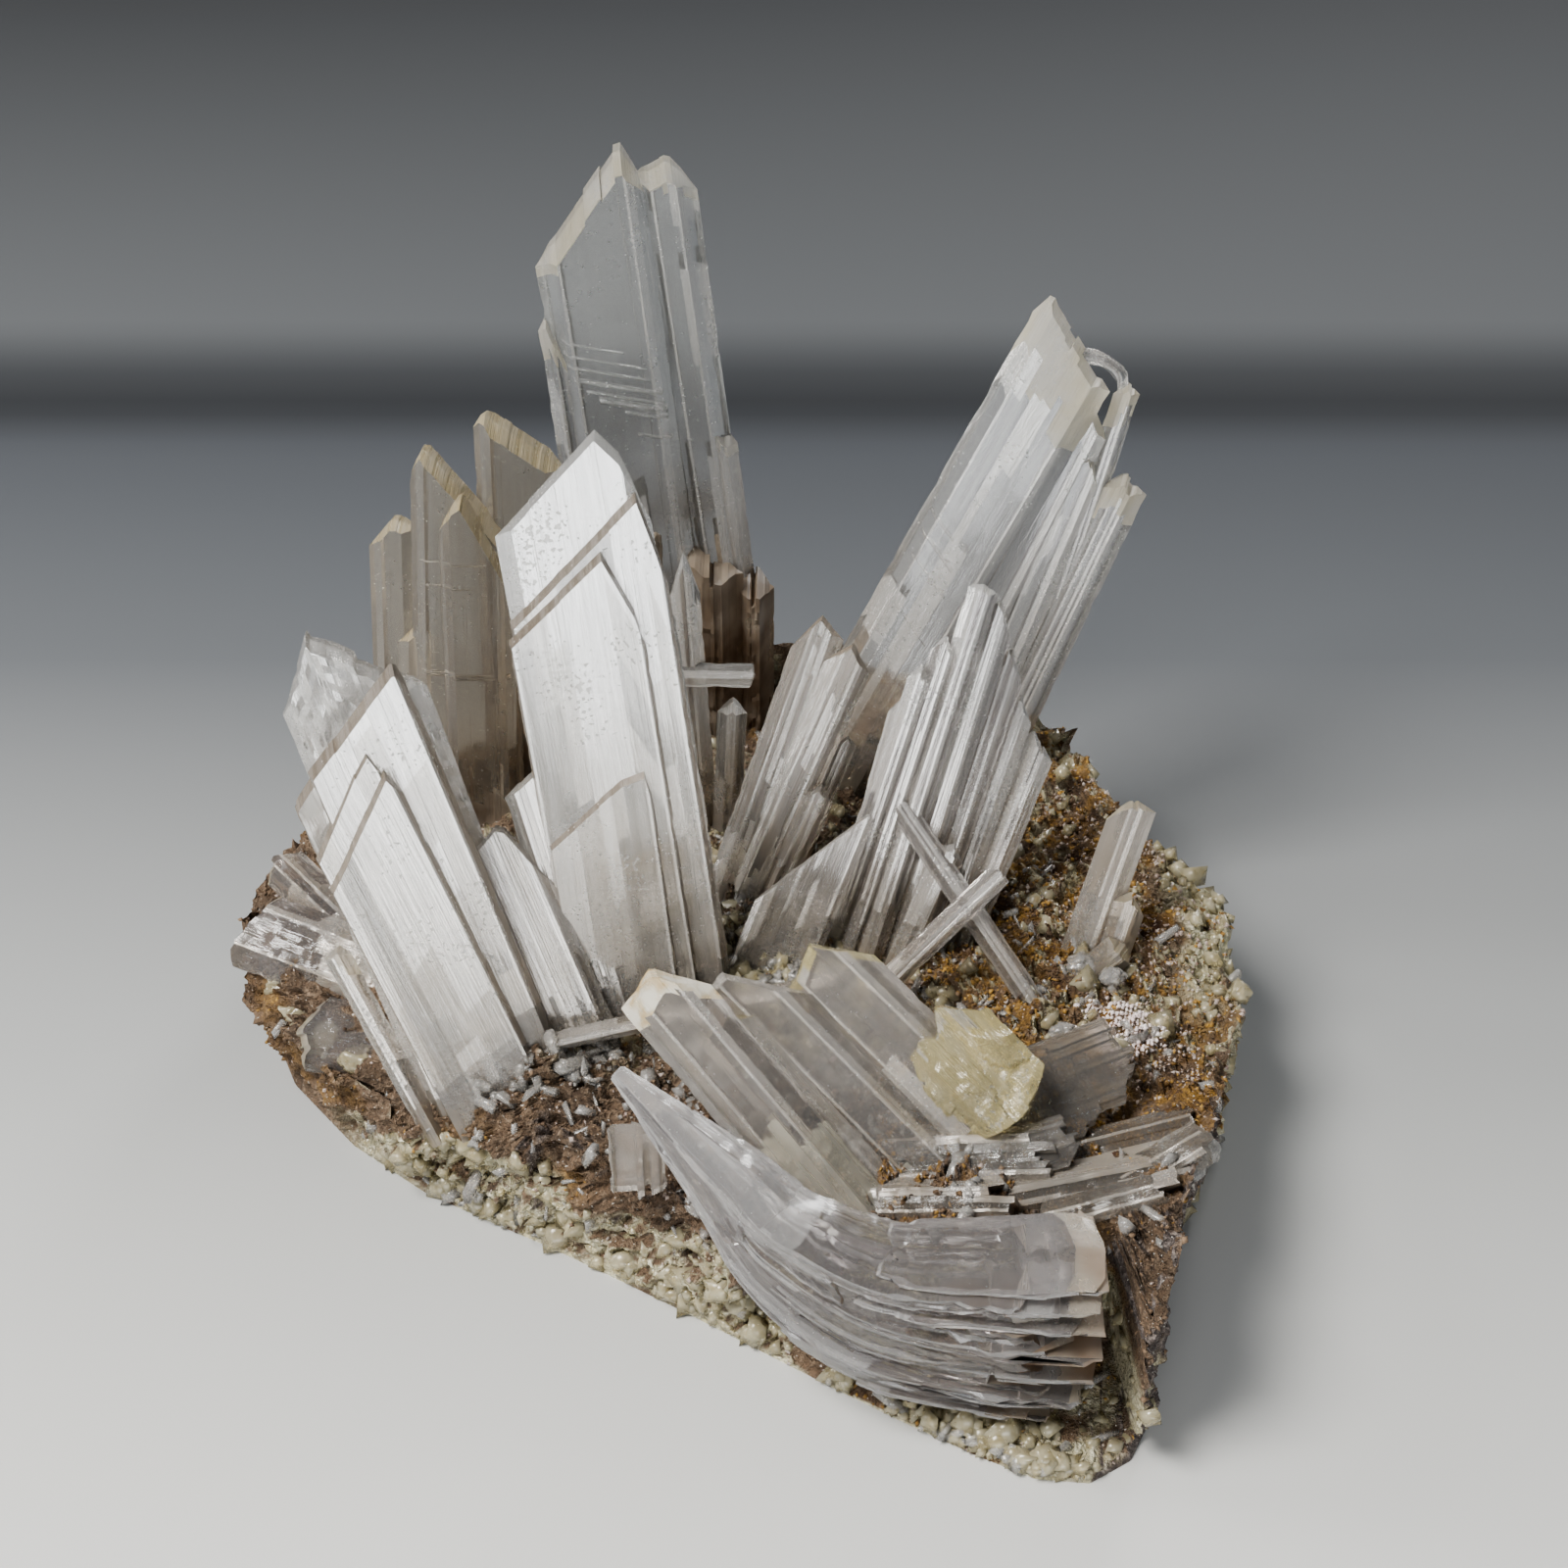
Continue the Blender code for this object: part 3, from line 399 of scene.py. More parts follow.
def striae_group():
    """Growth lines along a blade: two noises drawn out along its length, one fine and one broad."""
    group, given, result = new_group(
        "growth_striae", [("Fine", "NodeSocketFloat", 60.0), ("Broad", "NodeSocketFloat", 14.0)],
        [("Height", "NodeSocketFloat"), ("Bands", "NodeSocketFloat")])
    uv = node_of(group, "ShaderNodeUVMap", uv_map="face_mm").outputs[0]
    lines = stretch(group, uv, (1.0, 0.02, 1.0))
    bands = stretch(group, uv, (1.0, 0.05, 1.0))
    fine = node_of(group, "ShaderNodeTexNoise")
    fine.inputs["Detail"].default_value = 2.0
    broad = node_of(group, "ShaderNodeTexNoise")
    broad.inputs["Detail"].default_value = 1.0
    for made, vector, scale in ((fine, lines, "Fine"), (broad, bands, "Broad")):
        group.links.new(vector, made.inputs["Vector"])
        group.links.new(given.outputs[scale], made.inputs["Scale"])
    height = math_node(group, "ADD", fine.outputs["Fac"], math_node(group, "MULTIPLY", broad.outputs["Fac"], 1.6))
    group.links.new(height, result.inputs["Height"])
    group.links.new(band(group, broad.outputs["Fac"], 0.42, 0.6), result.inputs["Bands"])
    return group


def speck_group():
    """Pits, dust and frost: small sharp spots, denser in broad patches."""
    group, given, result = new_group(
        "pits_and_dust", [("Size", "NodeSocketFloat", 900.0), ("Amount", "NodeSocketFloat", 0.5)],
        [("Mask", "NodeSocketFloat"), ("Patches", "NodeSocketFloat")])
    place = node_of(group, "ShaderNodeTexCoord").outputs["Object"]
    spots = node_of(group, "ShaderNodeTexNoise")
    spots.inputs["Detail"].default_value = 1.0
    group.links.new(place, spots.inputs["Vector"])
    group.links.new(given.outputs["Size"], spots.inputs["Scale"])
    patches = band(group, noise_node(group, place, 130.0, 1.0), 0.40, 0.69)
    reach = math_node(group, "MULTIPLY", math_node(group, "MULTIPLY", patches, given.outputs["Amount"]), 0.22)
    limit = math_node(group, "SUBTRACT", 0.775, reach)
    over = math_node(group, "SUBTRACT", spots.outputs["Fac"], limit)
    group.links.new(band(group, over, 0.0, 0.05), result.inputs["Mask"])
    group.links.new(patches, result.inputs["Patches"])
    return group


def stain_group():
    """Earth and iron that seeped between the crystals: cloudy patches, stronger low on the specimen."""
    group, given, result = new_group(
        "iron_stain", [("Low", "NodeSocketFloat", 0.016), ("High", "NodeSocketFloat", 0.034),
                       ("Size", "NodeSocketFloat", 160.0)],
        [("Mask", "NodeSocketFloat"), ("Depth", "NodeSocketFloat")])
    place = node_of(group, "ShaderNodeTexCoord").outputs["Object"]
    height = node_of(group, "ShaderNodeSeparateXYZ")
    group.links.new(place, height.inputs[0])
    clouds = node_of(group, "ShaderNodeTexNoise")
    clouds.inputs["Detail"].default_value = 3.0
    group.links.new(place, clouds.inputs["Vector"])
    group.links.new(given.outputs["Size"], clouds.inputs["Scale"])
    fade = node_of(group, "ShaderNodeMapRange")
    group.links.new(height.outputs["Z"], fade.inputs["Value"])
    group.links.new(given.outputs["High"], fade.inputs["From Min"])
    group.links.new(given.outputs["Low"], fade.inputs["From Max"])
    cloud = band(group, clouds.outputs["Fac"], 0.40, 0.62)
    group.links.new(math_node(group, "MULTIPLY", fade.outputs[0], cloud), result.inputs["Mask"])
    group.links.new(band(group, height.outputs["Z"], 0.060, 0.012), result.inputs["Depth"])
    return group


STRIAE = striae_group()
SPECKS = speck_group()
STAIN = stain_group()


def use_group(tree, group, **values):
    made = node_of(tree, "ShaderNodeGroup", node_tree=group)
    for name, value in values.items():
        made.inputs[name].default_value = value
    return made


def blank(name):
    """A new material, its node tree and its shader."""
    made = bpy.data.materials.new(name)
    made.use_nodes = True
    return made, made.node_tree, made.node_tree.nodes["Principled BSDF"]


def gypsum(name, tint, clear=0.9, roughness=0.08, pearl=0.0, absorb=(0.8, 0.78, 0.7), density=40.0,
           lines=0.35, fine=60.0, broad=14.0, dust=0.4, stain=(0.52, 0.38, 0.2), stained=0.5,
           stain_low=0.014, stain_high=0.03, stain_size=160.0, warm=0.5):
    """Crystal finish: clear is its transmission, pearl its silvery sheen and density its absorption.

    lines is the strength of the growth striae, dust the amount of pits and dust, stained the strength
    of the earth in the patches low on the specimen and warm how far it browns towards the rock.
    """
    made, tree, shader = blank(name)
    striae = use_group(tree, STRIAE, Fine=fine, Broad=broad)
    specks = use_group(tree, SPECKS, Size=2300.0, Amount=dust)
    seep = use_group(tree, STAIN, Low=stain_low, High=stain_high, Size=stain_size)
    pale = mix_colour(tree, math_node(tree, "MULTIPLY", striae.outputs["Bands"], 0.35), tint,
                      tuple(0.3 + 0.7 * c for c in tint))
    pale = mix_colour(tree, math_node(tree, "MULTIPLY", seep.outputs["Depth"], warm), pale, (0.72, 0.63, 0.53))
    dusty = mix_colour(tree, math_node(tree, "MULTIPLY", specks.outputs["Mask"], 0.6), pale, (0.93, 0.92, 0.89))
    share = math_node(tree, "MULTIPLY", seep.outputs["Mask"], stained)
    tree.links.new(mix_colour(tree, share, dusty, stain), shader.inputs["Base Color"])
    rough = math_node(tree, "MULTIPLY_ADD", striae.outputs["Bands"], 0.07)
    rough.node.inputs[2].default_value = roughness
    rough = math_node(tree, "ADD", rough, math_node(tree, "MULTIPLY", specks.outputs["Mask"], 0.35))
    rough = math_node(tree, "ADD", rough, math_node(tree, "MULTIPLY", share, 0.3))
    tree.links.new(rough, shader.inputs["Roughness"])
    bump = node_of(tree, "ShaderNodeBump")
    bump.inputs["Strength"].default_value = lines
    bump.inputs["Distance"].default_value = 0.0002
    height = math_node(tree, "SUBTRACT", striae.outputs["Height"],
                       math_node(tree, "MULTIPLY", specks.outputs["Mask"], 0.5))
    tree.links.new(height, bump.inputs["Height"])
    tree.links.new(bump.outputs[0], shader.inputs["Normal"])
    shader.inputs["Metallic"].default_value = pearl
    shader.inputs["Transmission Weight"].default_value = clear
    shader.inputs["IOR"].default_value = 1.52
    if density:
        volume = node_of(tree, "ShaderNodeVolumeAbsorption")
        volume.inputs["Color"].default_value = (*absorb, 1.0)
        volume.inputs["Density"].default_value = density
        tree.links.new(volume.outputs[0], tree.nodes["Material Output"].inputs["Volume"])
    return made


BROWN_STEP = dict(strip=0.8, relief=0.35, ragged=1.6, lumpy=0.25, finish=(2, 2, 2, 2, 2), row=0.8)
# A growth layer: painted shade on its end and sides, and a painted highlight along its rim.
GROWTH_LAYER = dict(rim=0.45, finish=(0, 4, 2, 3, 1), veil=(0.1, 0.65), bevel=0.14)    # dark, bright edge
TALL = [
    blade((-8.5, 47.5, 13), (-14.8, 38, 90), 12.8, 6, 3.5, 1.25, 2.2, 0.3, strip=1.7, relief=0.09,
          ragged=0.9, cap_zone=2.4, foot_zone=22, veil=(0.3, 0.1)),
    blade((0, 48.5, 13), (-7.3, 39.5, 88.5), 6.6, 5, 0.8, 0.4, 1.6, 0.3, strip=1.1, relief=0.1, ragged=0.9,
          cap_zone=2.2, foot_zone=22, veil=(0.3, 0.15)),
    blade((-15, 48, 16), (-18.5, 40, 71), 4, 4, -1, 1.6, 2.5, 0.3, ragged=0.6, cap_zone=3, foot_zone=20),
    blade((2, 48.5, 13), (-2, 43, 57), 3.4, 4, -1, 1.0, 1.2, 0.2, ragged=0.6, cap_zone=2, foot_zone=20),
    blade((-11, 44.5, 14), (-12.5, 41, 46), 9, 4, 2.5, 0.5, 1.0, 0.2, **BROWN_STEP),
    blade((-3, 43.5, 13), (-3, 41.5, 41), 7, 6, -1.5, 0.5, 0.4, 0.1, **BROWN_STEP),
    blade((1.5, 45, 13), (1.6, 43, 37), 4.6, 6, 0.5, 0.3, 0.8, 0.1, **BROWN_STEP),
]
REAR = [
    blade((-31.5, 30.5, 11), (-28, 31.5, 60), 11, 4.5, -4.1, 2.2, 1.2, 0.2, strip=0.8),
    blade((-28.5, 28, 11), (-26.5, 28.5, 56.5), 8.4, 3.6, -1.9, 2.0, 2.0, 0.2, strip=0.8),
    blade((-24, 35.5, 12), (-22.3, 34.5, 62.4), 9.6, 5, -3.8, 1.6, 0.75, 0.2, strip=0.8),
    blade((-38.8, 32, 11), (-36.7, 36, 49), 5.4, 4, 0, 1.3, 0.4, 0.2),
    blade((-36.5, 30, 11), (-34.5, 33, 38), 5, 4, 0.5, 1.0, 0.8, 0.2),
]
CENTRAL = [
    # The big blade's veiled strips spread to cover its top: satin veils, and in part a painted highlight for the sheen
    # there.
    blade((-7.5, -4, 11), (-16.5, 13.5, 73), 15, 4.6, 4.4, 0.8, 3.3, 0.2, strip=3.0, relief=0.04,
          veil=(0.1, 1.1)),
    blade((-7.5, -5.6, 11), (-15, 9.7, 67.6), 15.6, 3, 6.2, 0.8, 6.0, 0.45, strip=2.8, relief=0.06,
          **GROWTH_LAYER),
    blade((-9, -6.8, 11), (-16, 7.0, 63.8), 13, 2.6, 4.7, 0.75, 6.0, 0.45, strip=2.6, relief=0.06,
          **GROWTH_LAYER),
    blade((-10, -7.6, 11), (-13.6, 0.6, 43), 11, 2.6, 4.7, 0.75, 6.0, 0.45, strip=2.2, relief=0.07,
          **dict(GROWTH_LAYER, veil=(0.2, 0.5))),
    blade((-1, -5, 11), (-8, 12, 58), 3.4, 4.4, -0.6, 0.5, 2.2, 0.2),
    blade((-13, -12.5, 11), (-24, -1, 36.5), 7.5, 3, 1, 0.5, 3.0, 0.1, strip=0.5, relief=0.12),
    blade((-11, -9, 11), (-20, 2.5, 41), 6.5, 3, 1, 0.5, 3.0, 0.1, strip=0.5, relief=0.12),
    blade((10, -7, 21.5), (-17.8, -12.6, 18.5), 2, 4.4, 0, 0.3, 0.3, 0.0, strip=0.5, foot_zone=0),
]
LEFT = [
    # The left blade's veiled strips spread towards its top: satin veils, and in part a painted highlight for the sheen
    # there.
    blade((-26, -3, 11), (-38.5, 4, 57), 14, 4, -2.2, 1.4, 0.9, 0.2, strip=1.6, ragged=1.2, lumpy=0.35,
          veil=(0.2, 0.9), fine=0.6, row=0.9),
    blade((-21.5, -14, 11), (-37, -1.5, 54.5), 12, 4, 5.4, 0.65, 5.0, 0.4, strip=2.4, relief=0.07,
          torn=2.5, **GROWTH_LAYER),
    blade((-22.5, -15.7, 10), (-38.5, -5.4, 47.8), 9.6, 2.6, 4.1, 0.95, 5.0, 0.45, strip=2.0, torn=2.5,
          **GROWTH_LAYER),
    blade((-22, -16.6, 10), (-37, -6.8, 46), 10.4, 3, 4.6, 0.9, 5.0, 0.45, strip=2.2, torn=2.5,
          **GROWTH_LAYER),
    blade((-28.5, -8, 10), (-41, -2, 46.5), 6.4, 3.6, 2.4, 0.85, 3.0, 0.3, lumpy=0.2, strip=1.6,
          **GROWTH_LAYER),
    blade((-29.5, -17, 9), (-39, -9.5, 28), 2.6, 3, 0.3, 0.3, 1.2, 0.1, strip=0.4, relief=0.15,
          cap_zone=2.5, finish=(0, 5, 2, 3, 1)),
    blade((-27.5, -16, 9), (-36, -8.5, 31.5), 3.6, 3, -0.3, 0.4, 1.4, 0.1, strip=0.4, relief=0.15),
]
KNOBBLY = dict(ragged=0.8, lumpy=0.12, swell=0.3, relief=0.12, strip=1.4, cap_zone=1.2, veil=(0.1, 0.3),
               fine=0.45, row=0.6)
LEFT_END = [
    blade((-36, -1, 16), (-53, 6.5, 17.5), 8.6, 5, -2, 0.4, 0.5, 0.2, (0.0, -0.6, 0.8), **KNOBBLY),
    blade((-38, 5, 14), (-50, 13, 22), 5, 5, 0, 0.6, 0.6, 0.2, (0.0, -0.6, 0.8), **KNOBBLY),
    blade((-36, -6, 12), (-46, -6, 14), 8, 5, 0, 0.4, 0.8, 0.3, (0.0, -0.6, 0.8), **KNOBBLY),
]
MIDDLE = [
    blade((-2.5, 10, 13), (9.5, 24, 44.5), 5, 3.6, -0.5, 2.2, 0.6, 0.2, strip=0.45, relief=0.12),
    blade((-1, 9, 13), (12.6, 21, 43), 5, 3.6, -0.4, 1.4, 0.8, 0.2, strip=0.45, relief=0.12),
    blade((3.5, 11.5, 13), (11.9, 20.6, 31.5), 2.4, 2.4, 0, 1.6, 0.6, 0.2, strip=0.45),
    blade((1.5, 8, 13), (9, 14, 30), 3.4, 3, 0, 1.2, 0.8, 0.2, strip=0.45),
]
SMALL_BACK = [
    blade((-4, 25, 13), (-5.8, 26, 51), 3.6, 3, 0.4, 3.0, 3.6, 0.3),
    blade((-8, 24, 13), (-8.2, 25, 42), 4, 3, 0, 1.2, 2.0, 0.3),
    blade((-7, 24, 37), (2, 24.5, 36.5), 2.6, 2.6, 0, 0.2, 0.5, 0.2, foot_zone=0),
    blade((-1.5, 24, 13), (-0.5, 24.5, 33), 3.2, 3, 0, 0.8, 0.8, 0.2),
]
NEEDLE = dict(strip=0.3, relief=0.24, ragged=0.6, veil=(0.35, 0.35))
SHEAF = [
    blade((12.5, 0.5, 13), (25.3, 18.2, 52.5), 3.2, 3.6, -0.3, 0.6, 0.4, 0.3, **NEEDLE),
    blade((10.5, 1.5, 13), (21.8, 15.4, 48.2), 3.0, 3.4, -0.4, 1.8, 1.0, 0.3, **NEEDLE),
    blade((9, 3, 13), (19.2, 13.3, 46), 2.6, 3.4, -0.3, 1.8, 1.2, 0.3, **NEEDLE),
    blade((9.5, 5.5, 13), (17.4, 14.3, 41.5), 2.4, 3.4, 0, 1.8, 1.2, 0.3, **NEEDLE),
    blade((15.5, 1.5, 13), (27.5, 19.2, 50.4), 3.6, 4.0, -0.6, 1.2, 1.6, 0.3, **NEEDLE),
    blade((18, 2.5, 13), (28.9, 19.4, 44.4), 3.8, 4.0, -0.5, 0.8, 1.6, 0.3, **NEEDLE),
    blade((20.5, 3.8, 13), (30.1, 18.4, 38.6), 3.2, 3.8, -0.4, 1.8, 1.4, 0.3, **NEEDLE),
    blade((23, 5.2, 13), (32.3, 17.0, 34.6), 3.6, 3.8, -1.2, 1.6, 0.9, 0.3, **NEEDLE),
    blade((15.5, -1.2, 13), (22.5, 6, 29), 3.4, 3.4, 0, 0.8, 1.0, 0.2, **NEEDLE),
    blade((2.4, -1.4, 14), (10.6, 8.0, 32.6), 8.4, 1.8, 3.4, 1.7, 1.0, 0.0),
]
FAN = [
    blade((7.6, 31, 13), (37.1, 42.8, 69.5), 11.2, 5, -4.8, 3.2, 0.55, 0.3, strip=1.3, relief=0.08,
          cap_zone=6.5, ragged=0.9, veil=(0.3, 0.2)),
    blade((17, 31.5, 13), (38.6, 41.8, 60), 6, 4.4, -1.2, 2.4, 0.9, 0.3, strip=0.7, relief=0.12, ragged=0.8),
    blade((23, 32, 13), (38, 40.5, 55), 6, 4.4, 0, 0.8, 1.6, 0.3, strip=0.7, relief=0.12, ragged=0.8),
    blade((28.5, 31.5, 13), (41.5, 42, 62), 2.8, 3, 0, 1.1, 0.6, 0.3, ragged=0.5, cap_zone=5),
    blade((26.5, 32.5, 13), (42, 39.2, 52.6), 5.2, 4.4, -0.3, 1.3, 0.4, 0.3, ragged=0.8, cap_zone=3.5,
          relief=0.12),
]
CROSSING = [
    blade((33, -9.5, 15), (16.6, 8.4, 32.2), 2.6, 2.4, 0.4, 0.2, 1.2, 0.1, foot_zone=0, **NEEDLE),
    blade((14, -6.5, 19), (27.3, 1.5, 29), 2.6, 2.6, -0.4, 1.6, 0.2, 0.1, foot_zone=0, **NEEDLE),
]
STUB = [
    blade((34.5, 0.5, 12), (41.5, 10.5, 31), 4.6, 4, -0.5, 1.6, 0.3, 0.2, strip=0.5, ragged=0.5),
    blade((37.5, 0, 13), (41, 5, 23), 4, 4, 0, 0.8, 1.0, 0.2, strip=0.5, ragged=0.5),
    blade((34, -1, 14), (40.5, 0.5, 20), 3.6, 4.4, 0, 0.6, 0.8, 0.3, strip=0.5, ragged=0.5),
]
FRONT_BLADES = [
    blade((14, -34, 12), (-8.4, -17.8, 33), 8, 5.5, 0.6, 0.3, 1.5, 0.3, strip=3.0, relief=0.07,
          ragged=0.3, cap_zone=2.6, foot_zone=11, swell=0.12, veil=(0.1, 0.1), finish=(0, 4, 2, 3, 2),
          fine=0.5, row=0.8),
    blade((20.3, -27.6, 14), (-0.6, -12.8, 29), 8, 5.4, -0.9, 0.3, 1.6, 0.3, strip=3.0, relief=0.08,
          ragged=0.8, foot_zone=3, cap_zone=0.8, veil=(0.1, 0.1), finish=(0, 3, 2, 3, 2)),
    blade((23.7, -23.4, 18), (6.4, -9.8, 28.6), 9.2, 5.6, 1.0, 0.4, 1.6, 0.2, strip=3.2, relief=0.08,
          ragged=0.6, cap_zone=2.4, foot_zone=0, veil=(0.1, 0.2)),
    blade((27.5, -24.8, 20), (17.4, -16.4, 26.4), 10.5, 4.6, 1.5, 0.5, 0.9, 0.2, ragged=0.2, torn=0.3,
          strip=2.0, relief=0.1, lumpy=0.25, facets=0.5, swell=0.6, bevel=0.6, fine=0.32, row=0.4,
          veil=(0.35, 0.35), finish=(1, 1, 1, 2, 1)),
    blade((17.2, -30.8, 11.5), (-1.2, -17.6, 26.8), 6, 4, 0, 0.3, 0.9, 0.2, foot_zone=0),
]
SMOKY = [
    blade((21, -22.5, 17), (39.5, -16, 20.5), 9, 1.8, 0, 0.3, 0.7, 0, (0.0, -0.4, 0.9), ragged=1.4),
    blade((17, -29.5, 15), (33.5, -26.5, 19), 6, 2.2, 0, 0.4, 0.9, 0, (0.0, -0.5, 0.8), ragged=1.4),
    blade((19, -26, 15.5), (36, -21.5, 18), 6, 1.8, 0, 0.4, 0.9, 0, (0.0, -0.4, 0.9), ragged=1.4),
]
# Striated grey gypsum that lies on the rock between the smoky blades and the bent crystal.
BED_LOOKS = dict(strip=0.7, relief=0.22, ragged=3.0, torn=2.5, lumpy=0.1, swell=0.12, foot_zone=0,
                 veil=(0.1, 0.15), row=0.7)
LOW_BEDS = [
    blade((11, -31, 14.5), (28, -33, 17), 6, 4.5, 0, 0.3, 0.3, 0.1, (0.0, -0.45, 0.9), **BED_LOOKS),
    blade((14, -26.5, 15.5), (32, -28, 18), 7, 3.6, 0, 0.3, 0.3, 0.1, (0.0, -0.4, 0.9), **BED_LOOKS),
    blade((17, -32.2, 13.5), (44.5, -28.5, 17.5), 6, 5, 0, 0.3, 0.3, 0.1, (0.0, -0.45, 0.9), **BED_LOOKS),
    blade((22, -28, 13.5), (46.5, -23, 17), 6, 4.5, 0, 0.3, 0.3, 0.1, (0.0, -0.35, 0.9), **BED_LOOKS),
    blade((27, -34.6, 15), (43, -33, 19.5), 4.5, 5, 0, 0.3, 0.3, 0.1, (0.0, -0.45, 0.9), **BED_LOOKS),
    blade((37, -30.5, 16.5), (45.8, -27, 20.3), 4.6, 3.6, 0, 0.5, 0.5, 0.4, (0.0, -0.45, 0.9),
          **dict(BED_LOOKS, ragged=0.8, torn=0.5)),
]
FLAKE = [
    blade((-8.8, -28.6, 22.6), (-8.7, -29.3, 13.9), 5.4, 1.4, 0.9, 0.45, 0.3, 0.0, (0, -1, 0.1), 0.3,
          strip=1.1, relief=0.06, ragged=1.8, foot_zone=0, lumpy=0.1, facets=0.4, veil=(0.1, 0.2)),
]

# The bent crystal's middle line: x, y, z, half its depth and half its height at each station.
BEND = np.array([
    (-10.4, -28.5, 30.0, 0.7, 0.7), (-5.5, -31.5, 26.4, 1.9, 2.0), (0, -35.0, 22.0, 3.0, 4.0),
    (5.5, -38.5, 17.2, 4.0, 6.2), (14, -41.0, 13.0, 5.0, 7.8), (26, -42.0, 12.0, 6.0, 9.2),
    (35.6, -41.6, 11.6, 6.2, 9.6),
])
BEND_LENGTH = 58.0
# Its layers: the shares of the bend where each starts and ends, those of the height between which it
# lies, and that of the depth to which it stands out.
LAYERS = [
    (0.00, 0.94, -0.94, 0.96, 0.86), (0.00, 0.47, -0.60, 0.70, 0.94), (0.18, 0.62, 0.12, 0.92, 0.96),
    (0.42, 0.86, 0.48, 1.00, 0.90), (0.33, 0.98, -0.04, 0.42, 1.00), (0.50, 0.95, -0.38, 0.02, 0.93),
    (0.44, 0.97, -0.70, -0.33, 1.00), (0.55, 0.92, -1.00, -0.60, 0.90), (0.60, 1.00, 0.40, 0.62, 0.97),
    (0.70, 0.97, 0.60, 0.84, 0.92), (0.66, 0.90, -0.90, -0.68, 0.95), (0.80, 1.00, -0.30, -0.05, 1.00),
    (0.62, 0.99, 0.82, 0.99, 0.74),
]
HOOK = np.array([(31.5, 40.5, 62.5, 0.9, 0.9), (36, 42.2, 65, 0.9, 0.9), (40.2, 42.6, 63, 0.8, 0.8),
                 (41.2, 42, 59, 0.7, 0.7)])


def smooth_rows(table, count):
    """Rows between given ones: a curve through them whose slope at each is that of its neighbours."""
    place = np.linspace(0, len(table) - 1, count)
    i = np.minimum(place.astype(int), len(table) - 2)
    t = (place - i)[:, None]
    slope = np.gradient(table, axis=0)
    a, b, da, db = table[i], table[i + 1], slope[i], slope[i + 1]
    return ((2 * t**3 - 3 * t**2 + 1) * a + (t**3 - 2 * t**2 + t) * da
            + (3 * t**2 - 2 * t**3) * b + (t**3 - t**2) * db)


def curved_object(table, spec, start, end, low, high, share, seed):
    """Carries a slab along a curved line: up becomes the way along it, across the height, out the depth.

    The slab lies between two shares of the line's length and two of its height, at a share of its depth.
    """
    line = smooth_rows(table, 150)
    way = unit(np.gradient(line[:, :3], axis=0))
    outward = unit(np.stack([way[:, 1], -way[:, 0], np.zeros(len(way))], axis=1))
    down = np.cross(way, outward)
    stations = np.linspace(0, 1, len(line))
    length = np.linalg.norm(np.diff(line[:, :3], axis=0), axis=1).sum() * (end - start)

    def carry(wide, out, up):
        place = start + (end - start) * up / length
        x, y, z, depth, height = (np.interp(place, stations, column) for column in line.T)
        out_way = np.stack([np.interp(place, stations, column) for column in outward.T], axis=-1)
        down_way = np.stack([np.interp(place, stations, column) for column in down.T], axis=-1)
        fall = height * (wide / spec["width"] * (high - low) - (high + low) / 2)
        deep = out / (spec["thick"] / 2) * share * depth
        return np.stack([x, y, z], axis=-1) + fall[..., None] * down_way + deep[..., None] * out_way

    return slab_object(spec, length, seed, carry)


def bent_layers():
    """The bent crystal's layers, each a slab along the bend with its own torn ends."""
    parts = []
    for i, (start, end, low, high, share) in enumerate(LAYERS):
        broken = end > 0.88
        spec = blade((0, 0, 0), (0, 0, 1), 9.5 * (high - low), 11 * share, apex=(i % 3 - 1) * 1.2, left=0.5,
                     right=0.4, wedge=0.1, bevel=0.2, strip=0.9 if broken else 2.4, relief=0.06,
                     lumpy=0.42, facets=0.2, crumbled=0.55, swell=0.12, ragged=6.5 if broken else 0.8,
                     torn=0.3 if start < 0.1 else 2.0, foot_zone=2.0 * (start < 0.1),
                     cap_zone=3.5 * broken, nick=0.3, veil=(0.6, 0.1), finish=(0, 1, 2, 2, 2),
                     row=0.8, fine=0.6)
        parts.append(curved_object(BEND, spec, start, end, low, high, share, 700 + 17 * i))
    return parts


def plates_object(name, spec, marks):
    """Thin plates inside a crystal, one for each mark: (height, from, to, slope, depth, thickness)."""
    foot, across, facing, along, _ = axes_of(spec)
    height, left, right, slope, deep, thick = (column[:, None] for column in np.array(marks, float).T)
    corner = np.array([(a, b, c) for a in (0, 1) for b in (-1, 1) for c in (-1, 1)], float)
    u = left + (right - left) * corner[:, 0]
    v = deep + 0.3 * corner[:, 1]
    h = height + slope * (u - left) + thick / 2 * corner[:, 2]
    points = foot + u[..., None] * across + v[..., None] * facing + h[..., None] * along
    quads = np.array([(0, 1, 3, 2), (4, 6, 7, 5), (0, 4, 5, 1), (2, 3, 7, 6), (0, 2, 6, 4), (1, 5, 7, 3)])
    faces = quads[None] + 8 * np.arange(len(marks))[:, None, None]
    return mesh_object(name, points.reshape(-1, 3), faces.reshape(-1, 4))


